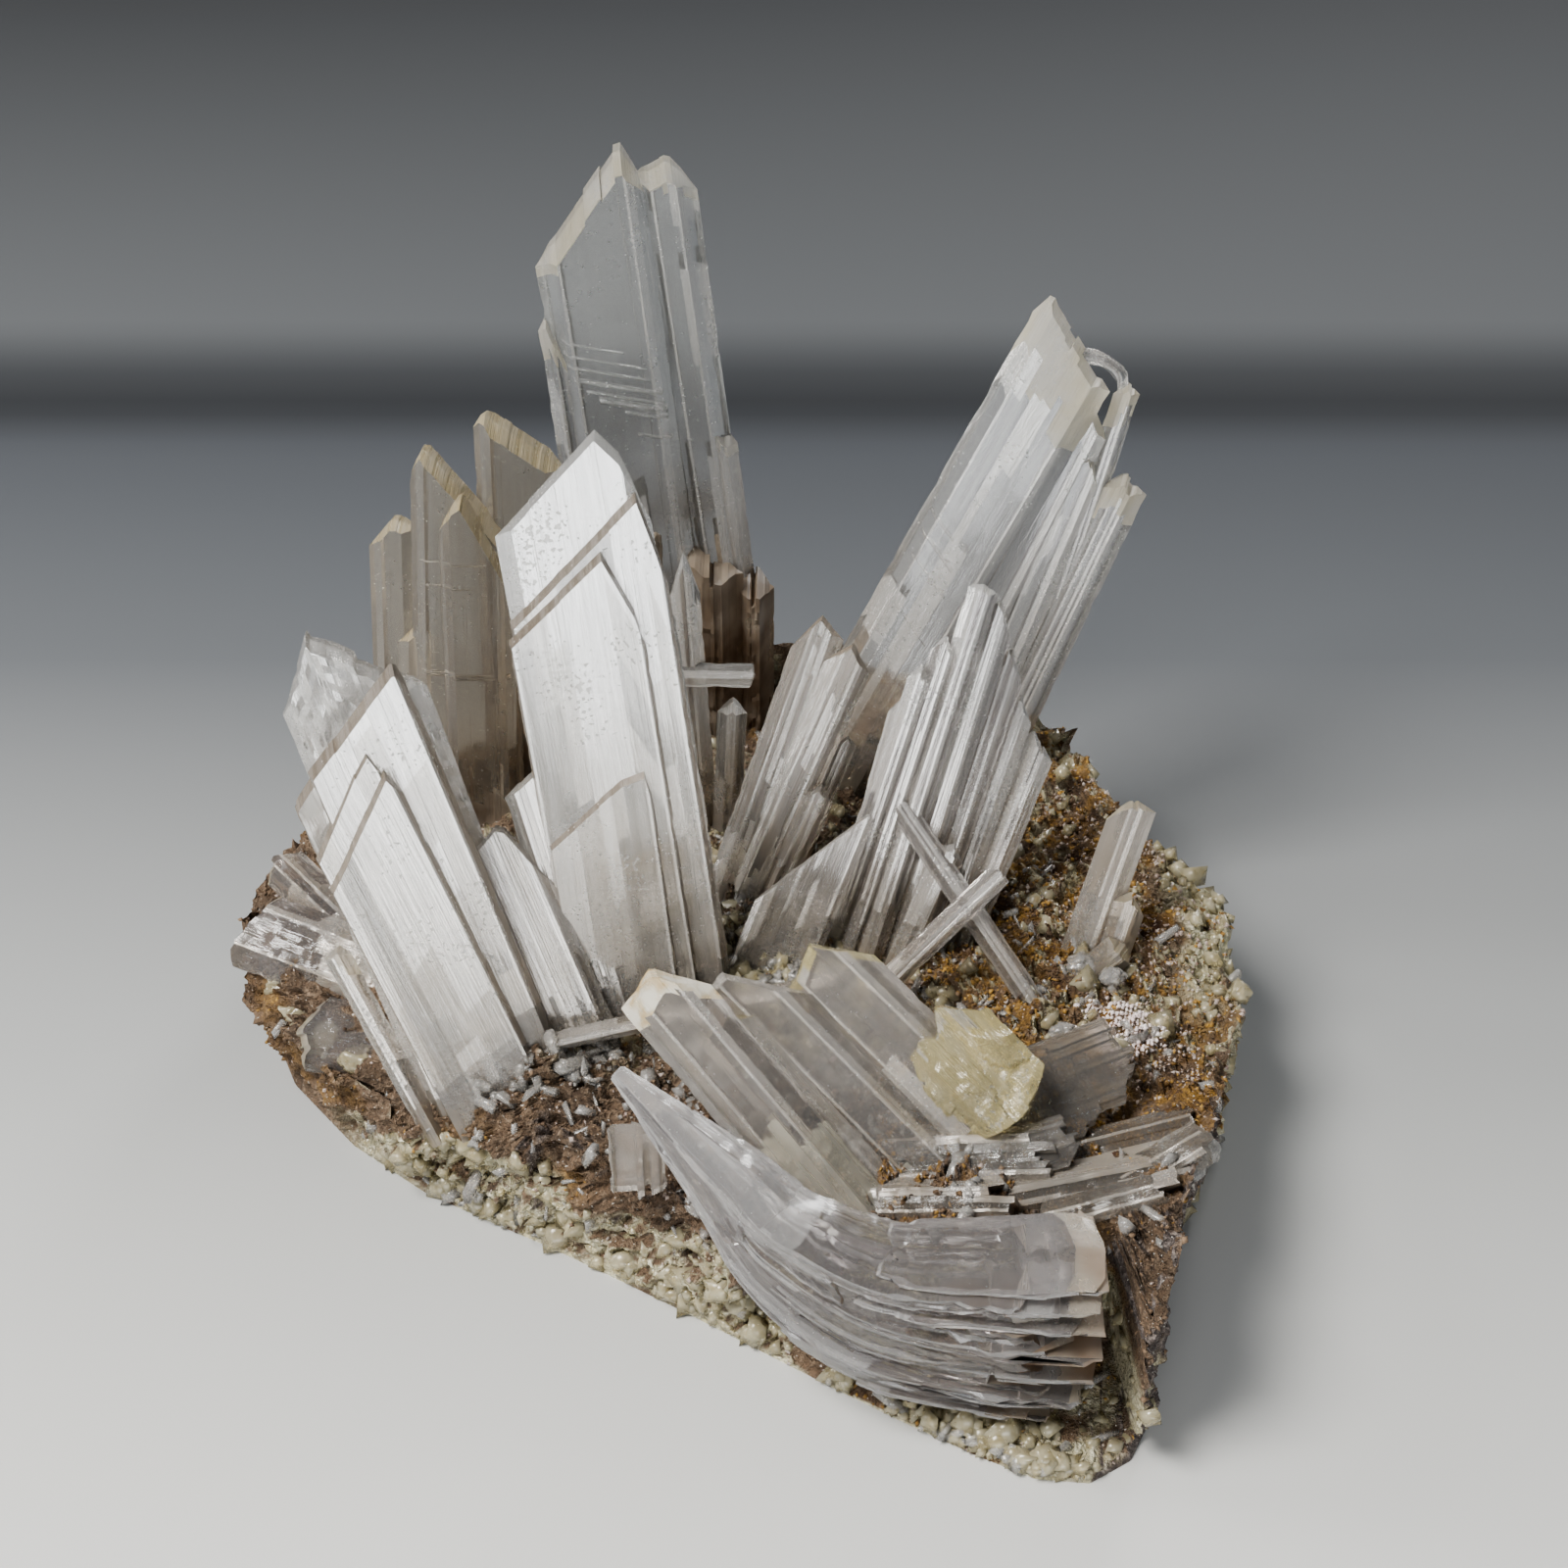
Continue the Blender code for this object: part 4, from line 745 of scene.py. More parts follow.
# Matrix: its underside outline (x, y) and its upper rim (x, y, z), in the same order.
UNDERSIDE = np.array([
    (-51, 8), (-47.5, 0), (-40, -9), (-32, -15.5), (-25, -19.5), (-18.5, -23), (-11, -27.5),
    (-4.5, -31.5), (2.5, -36), (9.5, -40.5), (16, -44.5), (23, -48.5), (28, -51), (33, -51.5),
    (37, -49), (39.5, -44), (40.5, -37), (41.5, -30), (45, -21), (48.5, -13), (52, -2), (52, 8),
    (49, 17), (43, 24), (39, 33), (34, 42), (25, 48), (13, 52), (-2, 53), (-14, 51), (-28, 45),
    (-40, 36), (-46, 27), (-50, 17),
], float)
RIM = np.array([
    (-54, 9, 15), (-51.5, 0, 13), (-44, -9, 12), (-34, -16, 10), (-26, -19.5, 12),
    (-18.5, -21, 14), (-11, -26, 15), (-4.5, -30.5, 14), (2, -34.5, 11), (9, -38.5, 8),
    (16, -43, 5), (23, -47.5, 4), (29, -50.5, 6), (34.5, -51, 12), (38.5, -48, 20),
    (40.6, -42, 22), (42, -35, 21), (45, -27, 19), (48.5, -18, 19), (50, -11, 17), (52.6, 0, 17),
    (52, 9, 17), (48, 16, 17), (43.5, 22, 18), (40, 31, 18), (37, 41, 18), (28, 46, 19),
    (15, 51, 21), (-1, 53, 22), (-14, 51.5, 19), (-29, 44, 17), (-41, 35.5, 16), (-46.5, 27, 16),
    (-51, 18, 16),
], float)
TOP_HEIGHT = 17.6
RIM_BLEND = 9.0
ROUND, SIDE_ROWS, TOP_ROWS = 560, 44, 122    # points round the matrix, up its side and over its top
MIDDLE_OF_TOP = np.array([2.0, 2.0])
LIMITS = ((-54.2, 53.4), (-51.5, 53.4), (0.05, 90.0))   # nothing on the rock goes past these


def closed_rows(table, count):
    """Evenly spread points on the closed outline through a table's rows."""
    loop = np.concatenate([table, table[:1]])
    place = np.linspace(0, len(table), count, endpoint=False)
    return np.stack([np.interp(place, np.arange(len(loop)), loop[:, i]) for i in range(table.shape[1])], 1)


def grid_normals(points):
    """The directions square to a closed grid (round, up, 3), outwards."""
    round_way = np.roll(points, -1, axis=0) - np.roll(points, 1, axis=0)
    up_way = np.gradient(points, axis=1)
    normal = np.cross(round_way, up_way)
    return normal / np.maximum(np.linalg.norm(normal, axis=-1, keepdims=True), 1e-9)


def matrix_grid():
    """The rock's skin over (round, up): straight from the underside to the rim, then in over the top.

    It is pushed out along its normal by broken facets, fractal lumps and, on the fibrous side, upright
    ridges. Where the bent crystal lies, the rock stays behind it.
    """
    under = closed_rows(UNDERSIDE, ROUND)
    rim = closed_rows(RIM, ROUND)
    share = np.linspace(0, 1, SIDE_ROWS)[None, :, None]
    base = np.concatenate([under, np.zeros((ROUND, 1))], axis=1)[:, None, :]
    side = base + (rim[:, None, :] - base) * share
    inward = (np.linspace(0, 1, TOP_ROWS + 1)[1:] ** 0.9 * 0.998)[None, :, None]
    flat = rim[:, None, :2] * (1 - inward) + MIDDLE_OF_TOP * inward
    distance = np.linalg.norm(flat - rim[:, None, :2], axis=-1)
    blend = np.clip(distance / RIM_BLEND, 0, 1)
    height = rim[:, None, 2] + (TOP_HEIGHT - rim[:, None, 2]) * blend
    top = np.concatenate([flat, height[..., None]], axis=-1)
    grid = np.concatenate([side, top], axis=1)
    normal = grid_normals(grid)
    centre_fade = ramp(1 - np.concatenate([np.zeros(SIDE_ROWS), inward[0, :, 0]]), 0.0, 0.06)[None, :]
    foot_fade = ramp(grid[..., 2], 0.0, 2.5)
    fibrous = ramp(grid[..., 0], 36, 40) * ramp(-grid[..., 1], 18, 24)
    lumps = 1.5 * noise(grid, 0.13, 3) + 1.0 * chunks(grid, 0.24, 5) + 0.7 * chunks(grid, 0.55, 9)
    lumps = lumps + 0.4 * chunks(grid, 1.3, 13) + 0.35 * fractal(grid, 1.1, 3, 21)
    ridges = 1.0 * noise(grid * np.array([1, 1, 0.1]), 0.8, 31) + 0.5 * noise(grid * np.array([1, 1, 0.16]), 2.4, 33)
    push = (lumps * (1 - 0.65 * fibrous) + ridges * fibrous - 0.9) * foot_fade * centre_fade
    grid = grid + normal * push[..., None]
    line = smooth_rows(BEND, 80)
    behind = np.interp(grid[..., 0], line[:, 0], line[:, 1] + 0.9 * line[:, 3])
    low = np.interp(grid[..., 0], line[:, 0], line[:, 2] - line[:, 4])
    inside = ramp(grid[..., 2], low - 1.0, low + 1.5) * ramp(grid[..., 0], -7, -3) * ramp(-grid[..., 0], -37.5, -35.5)
    grid[..., 1] = grid[..., 1] + (np.maximum(grid[..., 1], behind) - grid[..., 1]) * inside
    grid[..., 2] = np.maximum(grid[..., 2], 0.0)
    grid[:, 0, 2] = 0.0
    grid[..., 0] = np.clip(grid[..., 0], *LIMITS[0])
    grid[..., 1] = np.clip(grid[..., 1], *LIMITS[1])
    return grid


def matrix_object(name, grid):
    """Closes the rock's skin with a pole on top and a fan of faces over the flat underside."""
    rows = grid.shape[1]
    index = np.arange(ROUND * rows).reshape(ROUND, rows)
    after = np.roll(index, -1, axis=0)
    quads = np.stack([index[:, :-1], after[:, :-1], after[:, 1:], index[:, 1:]], axis=-1).reshape(-1, 4)
    top_pole, under_pole = ROUND * rows, ROUND * rows + 1
    top = np.stack([index[:, -1], after[:, -1], np.full(ROUND, top_pole)], axis=1)
    under = np.stack([after[:, 0], index[:, 0], np.full(ROUND, under_pole)], axis=1)
    triangles = np.concatenate([quads[:, [0, 1, 2]], quads[:, [0, 2, 3]], top, under])
    middle = grid[:, -1].mean(axis=0)
    points = np.concatenate([grid.reshape(-1, 3), [middle, (*MIDDLE_OF_TOP, 0.0)]])
    made = mesh_object(name, points, triangles)
    made.data.shade_smooth()
    made.data.set_sharp_from_angle(angle=math.radians(35))
    return made


def turns(rng, count):
    """Random rotation matrices, from random unit quaternions."""
    w, x, y, z = unit(rng.normal(size=(count, 4))).T
    return np.stack([
        np.stack([1 - 2 * (y * y + z * z), 2 * (x * y - z * w), 2 * (x * z + y * w)], -1),
        np.stack([2 * (x * y + z * w), 1 - 2 * (x * x + z * z), 2 * (y * z - x * w)], -1),
        np.stack([2 * (x * z - y * w), 2 * (y * z + x * w), 1 - 2 * (x * x + y * y)], -1)], axis=1)


OCTAHEDRON = np.array([(1, 0, 0), (-1, 0, 0), (0, 1, 0), (0, -1, 0), (0, 0, 1), (0, 0, -1)], float)
OCTAHEDRON_FACES = np.array([
    (0, 2, 4), (2, 1, 4), (1, 3, 4), (3, 0, 4), (2, 0, 5), (1, 2, 5), (3, 1, 5), (0, 3, 5)])
HEXAGON = np.array([(math.cos(a), math.sin(a)) for a in np.arange(6) * math.pi / 3])
PRISM = np.concatenate([np.column_stack([HEXAGON, np.full(6, -1.0)]), np.column_stack([HEXAGON, np.full(6, 1.0)])])
PRISM_FACES = np.array(
    [(i, (i + 1) % 6, (i + 1) % 6 + 6) for i in range(6)] + [(i, (i + 1) % 6 + 6, i + 6) for i in range(6)]
    + [(0, i + 1, i) for i in range(1, 5)] + [(6, i + 6, i + 7) for i in range(1, 5)])


def scatter(name, shape, shape_faces, places, sizes, rng, jitter=0.25, turn=None):
    """Joins many small copies of a shape: each is jittered, scaled, turned and set at its place."""
    count = len(places)
    copies = shape[None] * (1 + jitter * rng.uniform(-1, 1, (count, *shape.shape)))
    copies = copies * np.asarray(sizes).reshape(count, 1, -1)
    turn = turns(rng, count) if turn is None else turn
    copies = np.einsum("nij,nvj->nvi", turn, copies) + places[:, None, :]
    for axis, (low, high) in enumerate(LIMITS):
        over = np.maximum(copies[..., axis].max(axis=1) - high, 0) + np.minimum(copies[..., axis].min(axis=1) - low, 0)
        copies[..., axis] -= over[:, None]
    faces = shape_faces[None] + (np.arange(count) * len(shape))[:, None, None]
    return mesh_object(name, copies.reshape(-1, 3), faces.reshape(-1, shape_faces.shape[1]))


def pick(rng, grid, chance, count):
    """Picks places on the rock's skin, more often where chance is high."""
    weight = np.clip(chance, 0, None).ravel()
    chosen = rng.choice(weight.size, count, p=weight / weight.sum())
    return grid.reshape(-1, 3)[chosen], chosen


def rock_finish():
    """Earth, iron, gypsum crust and fibres: colours mixed by clouds, grit and the painted region masks."""
    made, tree, shader = blank("earthy_rock")
    place = node_of(tree, "ShaderNodeTexCoord").outputs["Object"]

    def region(name):
        return node_of(tree, "ShaderNodeAttribute", attribute_name=name).outputs["Fac"]

    clouds = band(tree, noise_node(tree, place, 230.0, 4.0, 0.65), 0.36, 0.64)
    grit = band(tree, noise_node(tree, place, 1400.0, 3.0, 0.7), 0.42, 0.62)
    brown = mix_colour(tree, clouds, (0.060, 0.038, 0.024), (0.19, 0.125, 0.078))
    brown = mix_colour(tree, math_node(tree, "MULTIPLY", grit, 0.55), brown, (0.30, 0.22, 0.15))
    rust_tone = mix_colour(tree, clouds, (0.07, 0.030, 0.014), (0.34, 0.20, 0.05))
    rust = math_node(tree, "MULTIPLY", region("rust"), band(tree, noise_node(tree, place, 330.0, 3.0), 0.36, 0.56))
    colour = mix_colour(tree, rust, brown, rust_tone)
    pale_tone = mix_colour(tree, grit, (0.52, 0.47, 0.30), (0.84, 0.80, 0.62))
    green = band(tree, noise_node(tree, place, 90.0, 3.0), 0.5, 0.68)
    pale_tone = mix_colour(tree, math_node(tree, "MULTIPLY", green, 0.35), pale_tone, (0.22, 0.24, 0.16))
    holes = band(tree, noise_node(tree, place, 200.0, 3.0), 0.36, 0.5)
    crust = math_node(tree, "MULTIPLY", region("crust"), holes)
    colour = mix_colour(tree, crust, colour, pale_tone)
    grey_tone = mix_colour(tree, grit, (0.07, 0.055, 0.05), (0.27, 0.23, 0.21))
    colour = mix_colour(tree, region("fibre"), colour, grey_tone)
    flecks = band(tree, noise_node(tree, place, 2600.0, 2.0), 0.68, 0.73)
    colour = mix_colour(tree, math_node(tree, "MULTIPLY", flecks, 0.8), colour, (0.8, 0.77, 0.7))
    tree.links.new(colour, shader.inputs["Base Color"])
    rough = math_node(tree, "SUBTRACT", 0.9, math_node(tree, "MULTIPLY", crust, 0.58))
    rough = math_node(tree, "SUBTRACT", rough, math_node(tree, "MULTIPLY", flecks, 0.3))
    tree.links.new(rough, shader.inputs["Roughness"])
    bump = node_of(tree, "ShaderNodeBump")
    bump.inputs["Strength"].default_value = 1.0
    bump.inputs["Distance"].default_value = 0.0007
    relief = math_node(tree, "ADD", noise_node(tree, place, 700.0, 4.0, 0.7), math_node(tree, "MULTIPLY", grit, 0.4))
    tree.links.new(relief, bump.inputs["Height"])
    tree.links.new(bump.outputs[0], shader.inputs["Normal"])
    return made


def grain_finish(name, dark, light, clear, roughness):
    """Small grains: each tinted between two colours by a fine noise."""
    made, tree, shader = blank(name)
    place = node_of(tree, "ShaderNodeTexCoord").outputs["Object"]
    tone = band(tree, noise_node(tree, place, 900.0, 2.0), 0.35, 0.65)
    tree.links.new(mix_colour(tree, tone, dark, light), shader.inputs["Base Color"])
    rough = math_node(tree, "MULTIPLY_ADD", noise_node(tree, place, 3000.0, 1.0), 0.3)
    rough.node.inputs[2].default_value = roughness
    tree.links.new(rough, shader.inputs["Roughness"])
    shader.inputs["Transmission Weight"].default_value = clear
    shader.inputs["IOR"].default_value = 1.52
    return made


def paint(piece, name, values):
    """Stores a value for each point of a piece as an attribute that its material reads."""
    attribute = piece.data.attributes.new(name, "FLOAT", "POINT")
    attribute.data.foreach_set("value", np.asarray(values, np.float32))


# Finishes of the crystals.
tall_body = gypsum("hazy_clear_gypsum", (0.90, 0.91, 0.90), clear=0.89, roughness=0.05, density=30.0, lines=0.06,
                   dust=0.4, stain=(0.34, 0.24, 0.14), stained=0.85, stain_low=0.034, stain_high=0.060)
clear_body = gypsum("clear_gypsum", (0.90, 0.90, 0.89), clear=0.88, roughness=0.08, density=30.0, lines=0.1,
                    dust=0.4)
cream_end = gypsum("cream_frosted_end", (0.88, 0.84, 0.75), clear=0.78, roughness=0.28, density=0.0, dust=1.2,
                   lines=0.6, stain=(0.75, 0.62, 0.3), stained=0.4, stain_low=0.2, stain_high=0.3)
brown_foot = gypsum("cloudy_brown_foot", (0.60, 0.50, 0.38), clear=0.62, roughness=0.24, density=90.0,
                    absorb=(0.6, 0.45, 0.28), stain=(0.22, 0.14, 0.08), stained=0.9, stain_high=0.05,
                    stain_low=0.03)
grey_body = gypsum("grey_brown_gypsum", (0.80, 0.76, 0.68), clear=0.88, roughness=0.07, density=110.0,
                   absorb=(0.62, 0.53, 0.40), lines=0.2)
half_veil = gypsum("milky_strip", (0.88, 0.87, 0.84), clear=0.78, roughness=0.15, pearl=0.10, density=0.0,
                   lines=0.3, dust=0.8)
ochre_end = gypsum("ochre_striated_end", (0.60, 0.50, 0.30), clear=0.55, roughness=0.26, density=0.0, lines=1.0,
                   fine=90.0)
silky_body = gypsum("silky_gypsum", (0.86, 0.85, 0.82), clear=0.82, roughness=0.12, pearl=0.10, density=25.0,
                    absorb=(0.74, 0.70, 0.64), lines=0.22, dust=0.9)
# silver_veil: satin veils, also a painted highlight on the tops of the big and left blades and along face edges.
silver_veil = gypsum("silver_veil", (0.90, 0.90, 0.89), clear=0.68, roughness=0.18, pearl=0.19, density=0.0,
                     lines=0.32, dust=1.0, stained=0.2)
white_veil = gypsum("white_veil", (0.90, 0.89, 0.86), clear=0.72, roughness=0.17, pearl=0.06, density=0.0,
                    lines=0.4, dust=0.8)
silky_end = gypsum("bright_growth_edge", (0.92, 0.92, 0.90), clear=0.66, roughness=0.16, pearl=0.15, density=0.0,
                   lines=0.5)
# A painted shade: this dark colour stands for the shade seen in the risers between growth layers.
painted_shade_step = gypsum("painted_shade_growth_step", (0.22, 0.18, 0.14), clear=0.5, roughness=0.2, density=0.0, lines=0.4)
milky_foot = gypsum("milky_foot", (0.86, 0.83, 0.79), clear=0.82, roughness=0.16, density=50.0,
                    absorb=(0.72, 0.64, 0.56), dust=1.2, lines=0.4)
frosted_body = gypsum("frosted_beige_gypsum", (0.76, 0.71, 0.65), clear=0.78, roughness=0.24, density=60.0,
                      absorb=(0.7, 0.62, 0.52), dust=1.0, lines=0.5)
needle_body = gypsum("striated_silver_gypsum", (0.86, 0.84, 0.83), clear=0.86, roughness=0.10, pearl=0.08,
                     density=40.0, absorb=(0.72, 0.66, 0.64), lines=0.4, fine=90.0)
smoky_body = gypsum("smoky_gypsum", (0.91, 0.87, 0.82), clear=0.89, roughness=0.15, density=12.0,
                    absorb=(0.70, 0.60, 0.50), lines=0.08, dust=0.2, stained=0.05, warm=0.15)
dark_body = gypsum("dark_smoky_gypsum", (0.76, 0.73, 0.69), clear=0.92, roughness=0.06, density=60.0,
                   absorb=(0.58, 0.54, 0.48), lines=0.25, fine=80.0, dust=0.3, stained=0.05, warm=0.2)
yellow_end = gypsum("pale_yellow_crust", (0.87, 0.77, 0.42), clear=0.76, roughness=0.14, density=0.0, dust=0.9,
                    lines=0.5, stained=0.1, warm=0.1)
yellow_haze = gypsum("yellowish_frosting", (0.86, 0.82, 0.69), clear=0.74, roughness=0.24, density=0.0,
                     dust=0.6, lines=0.3, stained=0.1, warm=0.1)
shiny_cream = gypsum("shiny_cream_knob", (0.88, 0.84, 0.72), clear=0.35, roughness=0.1, density=0.0,
                     lines=0.3, stain=(0.52, 0.33, 0.08), stained=0.9, stain_low=0.03, stain_high=0.05,
                     stain_size=420.0, warm=0.0)
waxy_tip = gypsum("waxy_white_gypsum", (0.92, 0.91, 0.90), clear=0.80, roughness=0.10, density=12.0,
                  absorb=(0.8, 0.76, 0.74), lines=0.05, dust=0.3, stained=0.1, warm=0.0)
waxy_body = gypsum("lilac_layered_gypsum", (0.90, 0.87, 0.86), clear=0.90, roughness=0.06, density=14.0,
                   absorb=(0.70, 0.62, 0.60), lines=0.05, dust=0.3, stained=0.1, warm=0.1)
torn_end = gypsum("rusty_broken_end", (0.80, 0.74, 0.64), clear=0.74, roughness=0.22, density=50.0,
                  absorb=(0.7, 0.6, 0.5), lines=0.5, dust=1.0, stain=(0.42, 0.24, 0.12), stained=0.8, warm=0.2)
lilac_body = gypsum("lilac_grey_gypsum", (0.86, 0.82, 0.82), clear=0.90, roughness=0.08, density=40.0,
                    absorb=(0.62, 0.55, 0.57), lines=0.3, warm=0.3)
bed_grey = gypsum("striated_grey_gypsum", (0.84, 0.81, 0.76), clear=0.90, roughness=0.08, density=50.0,
                  absorb=(0.58, 0.52, 0.46), lines=0.35, fine=90.0, dust=0.6, warm=0.2)

cluster("tall_blades", "tall_crystal", TALL, [tall_body, cream_end, brown_foot, half_veil], 101)
cluster("rear_left_blades", "rear_blades", REAR, [grey_body, ochre_end, brown_foot, grey_body], 202)
cluster("big_silky_blade", "central_blades", CENTRAL,
        [silky_body, half_veil, milky_foot, silver_veil, painted_shade_step], 303)
cluster("left_blade_stack", "left_blades", LEFT,
        [silky_body, half_veil, milky_foot, silver_veil, painted_shade_step, cream_end], 404)
cluster("far_left_crystals", "left_end_crystals", LEFT_END, [lilac_body, cream_end, lilac_body, white_veil], 505)
cluster("frosted_prisms", "middle_prisms", MIDDLE, [frosted_body, frosted_body, brown_foot, white_veil], 606)
cluster("little_back_crystals", "small_back_crystals", SMALL_BACK,
        [clear_body, silky_end, milky_foot, white_veil], 707)
cluster("striated_needles", "needle_sheaf", SHEAF, [needle_body, silky_end, milky_foot, silver_veil], 808)
fingers = [curved_object(HOOK, blade((0, 0, 0), (0, 0, 1), 1.8, 1.6, ragged=0.3), 0, 1, -1, 1, 1, 931)]
cluster("leaning_fan", "fan_crystal", FAN, [clear_body, cream_end, milky_foot, white_veil], 909, more=fingers)
cluster("crossed_prisms", "crossing_prisms", CROSSING, [needle_body, silky_end, milky_foot, silver_veil], 111)
cluster("frosted_stub", "stub_crystal", STUB, [frosted_body, cream_end, milky_foot, white_veil], 222)
cluster("front_smoky_blades", "front_blades", FRONT_BLADES,
        [smoky_body, yellow_end, yellow_haze, white_veil, shiny_cream], 333)
cluster("dark_thin_blades", "smoky_blades", SMOKY, [dark_body, bed_grey, dark_body, bed_grey], 444)
cluster("hanging_flake", "thin_flake", FLAKE, [smoky_body, bed_grey, smoky_body, bed_grey], 555)
cluster("bent_layers", "bent_crystal", [], [waxy_body, torn_end, waxy_tip, white_veil], 666, more=bent_layers())
cluster("striated_beds", "matrix", LOW_BEDS, [bed_grey, torn_end, bed_grey, white_veil], 777)

# White lines inside the tall, fan and rear crystals: (height, from, to, slope, depth, thickness).
TALL_LINES = [(54.0, -4.5, 3.6, -0.35, 1.7, 0.2), (55.4, -4.8, 3.4, -0.35, 1.4, 0.15),
              (52.2, -3.8, 4.4, -0.35, 1.6, 0.5), (50.8, -3.2, 4.6, -0.35, 1.8, 0.2),
              (49.4, -2.0, 4.8, -0.35, 1.5, 0.8), (47.6, 0.5, 4.8, -0.35, 1.7, 0.3),
              (56.8, -4.6, 1.2, -0.35, 1.2, 0.12), (44.5, 1.5, 5.0, -0.35, 1.5, 0.2)]
REAR_LINES = [(36.0, -4.2, 2.8, 0.1, 0.6, 0.12), (33.0, -3.8, 1.0, 0.1, 0.2, 0.1),
              (22.0, -4.0, 3.6, 0.1, 0.6, 0.2), (21.4, -4.0, 3.6, 0.1, 0.2, 0.1)]
FAN_LINES = [(36.0, -4.2, 0.6, -0.5, 0.8, 0.5), (38.5, -4.6, -0.8, -0.5, 0.6, 0.4),
             (33.0, -3.6, 1.4, -0.5, 0.7, 0.3), (27.0, -2.6, 2.2, -0.5, 0.4, 0.2)]
for name, node, spec, marks in (
        ("white_lines_in_tall_blade", "tall_crystal", TALL[0], TALL_LINES),
        ("white_lines_in_rear_blade", "rear_blades", REAR[0], REAR_LINES),
        ("white_bars_in_fan", "fan_crystal", FAN[0], FAN_LINES)):
    finish_piece(plates_object(name, spec, marks), node, [silver_veil])

grid = matrix_grid()
rock = matrix_object("earthy_matrix", grid)
points = grid.reshape(-1, 3)
x, y, z = points[:, 0], points[:, 1], points[:, 2]
normals = grid_normals(grid).reshape(-1, 3)
upward = ramp(normals[:, 2], 0.3, 0.7)
front_side = ramp(-normals[:, 1], 0.0, 0.4)
right_side = ramp(normals[:, 0], 0.2, 0.6)
patchy = noise(points, 0.11, 63)
rust_area = upward * ramp(x, 12, 22) * ramp(y, -36, -26) + ramp(noise(points, 0.12, 61), 0.25, 0.55) * 0.55
low_band = ramp(7.5 + 4.0 * patchy - z, -0.8, 0.8) * (1 - upward)
right_crust = right_side * ramp(y, -18, -8) * ramp(z, 5, 10)
rim_crust = ramp(x, 44, 49) * ramp(y, -10, 0)
crust_area = np.clip((front_side + 0.6) * low_band + right_crust + rim_crust, 0, 1) * ramp(x, -44, -34)
crust_area = np.maximum(crust_area, 0.8 * low_band * ramp(patchy, 0.0, 0.3))
fibre_area = right_side * ramp(-y, 16, 22)
corner = ramp(x, 14, 20) * ramp(-y, 40, 44) * ramp(9 - z, 0, 2)
crust_area = np.maximum(crust_area, corner) * (1 - fibre_area)
for name, values in (("rust", rust_area), ("crust", crust_area), ("fibre", fibre_area)):
    paint(rock, name, np.append(np.clip(values, 0, 1), [0.0, 0.0]))
finish_piece(rock, "matrix", [rock_finish()])

# Grains, crumbs and broken bits: material, shape, count, sizes (two of them for long bits), where.
rng = np.random.default_rng(9)
rust_crumb = grain_finish("rusty_crumbs", (0.07, 0.033, 0.012), (0.40, 0.24, 0.06), 0.0, 0.6)
brown_crumb = grain_finish("brown_crumbs", (0.07, 0.042, 0.026), (0.24, 0.165, 0.105), 0.0, 0.75)
pink_grain = grain_finish("pinkish_druse", (0.50, 0.36, 0.30), (0.84, 0.74, 0.68), 0.45, 0.15)
powder_grain = grain_finish("pink_white_powder", (0.80, 0.68, 0.66), (0.92, 0.86, 0.84), 0.0, 0.7)
crust_glass = grain_finish("yellow_green_crust", (0.62, 0.54, 0.33), (0.87, 0.81, 0.60), 0.66, 0.05)
clear_bit = grain_finish("clear_splinters", (0.82, 0.79, 0.74), (0.92, 0.91, 0.88), 0.76, 0.05)
milky_bit = grain_finish("milky_shards", (0.74, 0.70, 0.64), (0.88, 0.86, 0.82), 0.78, 0.08)
middle = upward * ramp(-np.hypot((x + 2) / 42, (y - 3) / 40), -1.0, -0.8)
foot_line = upward * sum(
    ramp(-np.linalg.norm((points - spot)[:, :2], axis=1), -4.0, -1.0)
    for spot in np.array([(-25, -15, 0), (-19, -14, 0), (-31, -11, 0), (-13, -13, 0), (-6, -11, 0), (8, -3, 0)]))
powder_spot = ramp(-np.linalg.norm((points - (39, -8.6, 18)) * (1, 1, 0.4), axis=1), -5.0, -3.5) * upward
SUNK = 0.4    # how far a grain is set into the rock, as a share of its size
GRAINS = [
    ("rusty_crumbs_on_top", rust_crumb, OCTAHEDRON, OCTAHEDRON_FACES, 9000, 0.15, 0.55, 1.0,
     rust_area * upward + 0.1 * upward * ramp(x, 5, 15)),
    ("brown_crumbs_on_rock", brown_crumb, OCTAHEDRON, OCTAHEDRON_FACES, 12000, 0.15, 0.5, 1.0,
     (1 - crust_area) * (0.4 + 0.6 * upward) * ramp(z, 1, 3)),
    ("pink_druse", pink_grain, OCTAHEDRON, OCTAHEDRON_FACES, 5000, 0.15, 0.5, 1.0,
     upward * ramp(x, 30, 42) * ramp(y, -22, -12) + 0.06 * upward),
    ("powder_lump", powder_grain, OCTAHEDRON, OCTAHEDRON_FACES, 3600, 0.15, 0.38, 1.0, powder_spot),
    ("rim_crust", crust_glass, OCTAHEDRON, OCTAHEDRON_FACES, 2600, 0.4, 1.1, 1.0,
     crust_area * ramp(crust_area, 0.4, 0.7)),
    ("crust_lumps", crust_glass, OCTAHEDRON, OCTAHEDRON_FACES, 1300, 1.1, 2.2, 1.0,
     crust_area * ramp(crust_area, 0.3, 0.6)),
    ("foot_shards", milky_bit, PRISM, PRISM_FACES, 190, 0.4, 1.0, 3.0, foot_line),
    ("clear_splinters", clear_bit, PRISM, PRISM_FACES, 1500, 0.15, 0.45, 3.2, middle + 0.05 * upward),
    ("broken_chips", clear_bit, PRISM, PRISM_FACES, 420, 0.4, 0.9, 2.2, upward * ramp(-y, -10, 10) + 0.2 * crust_area),
]
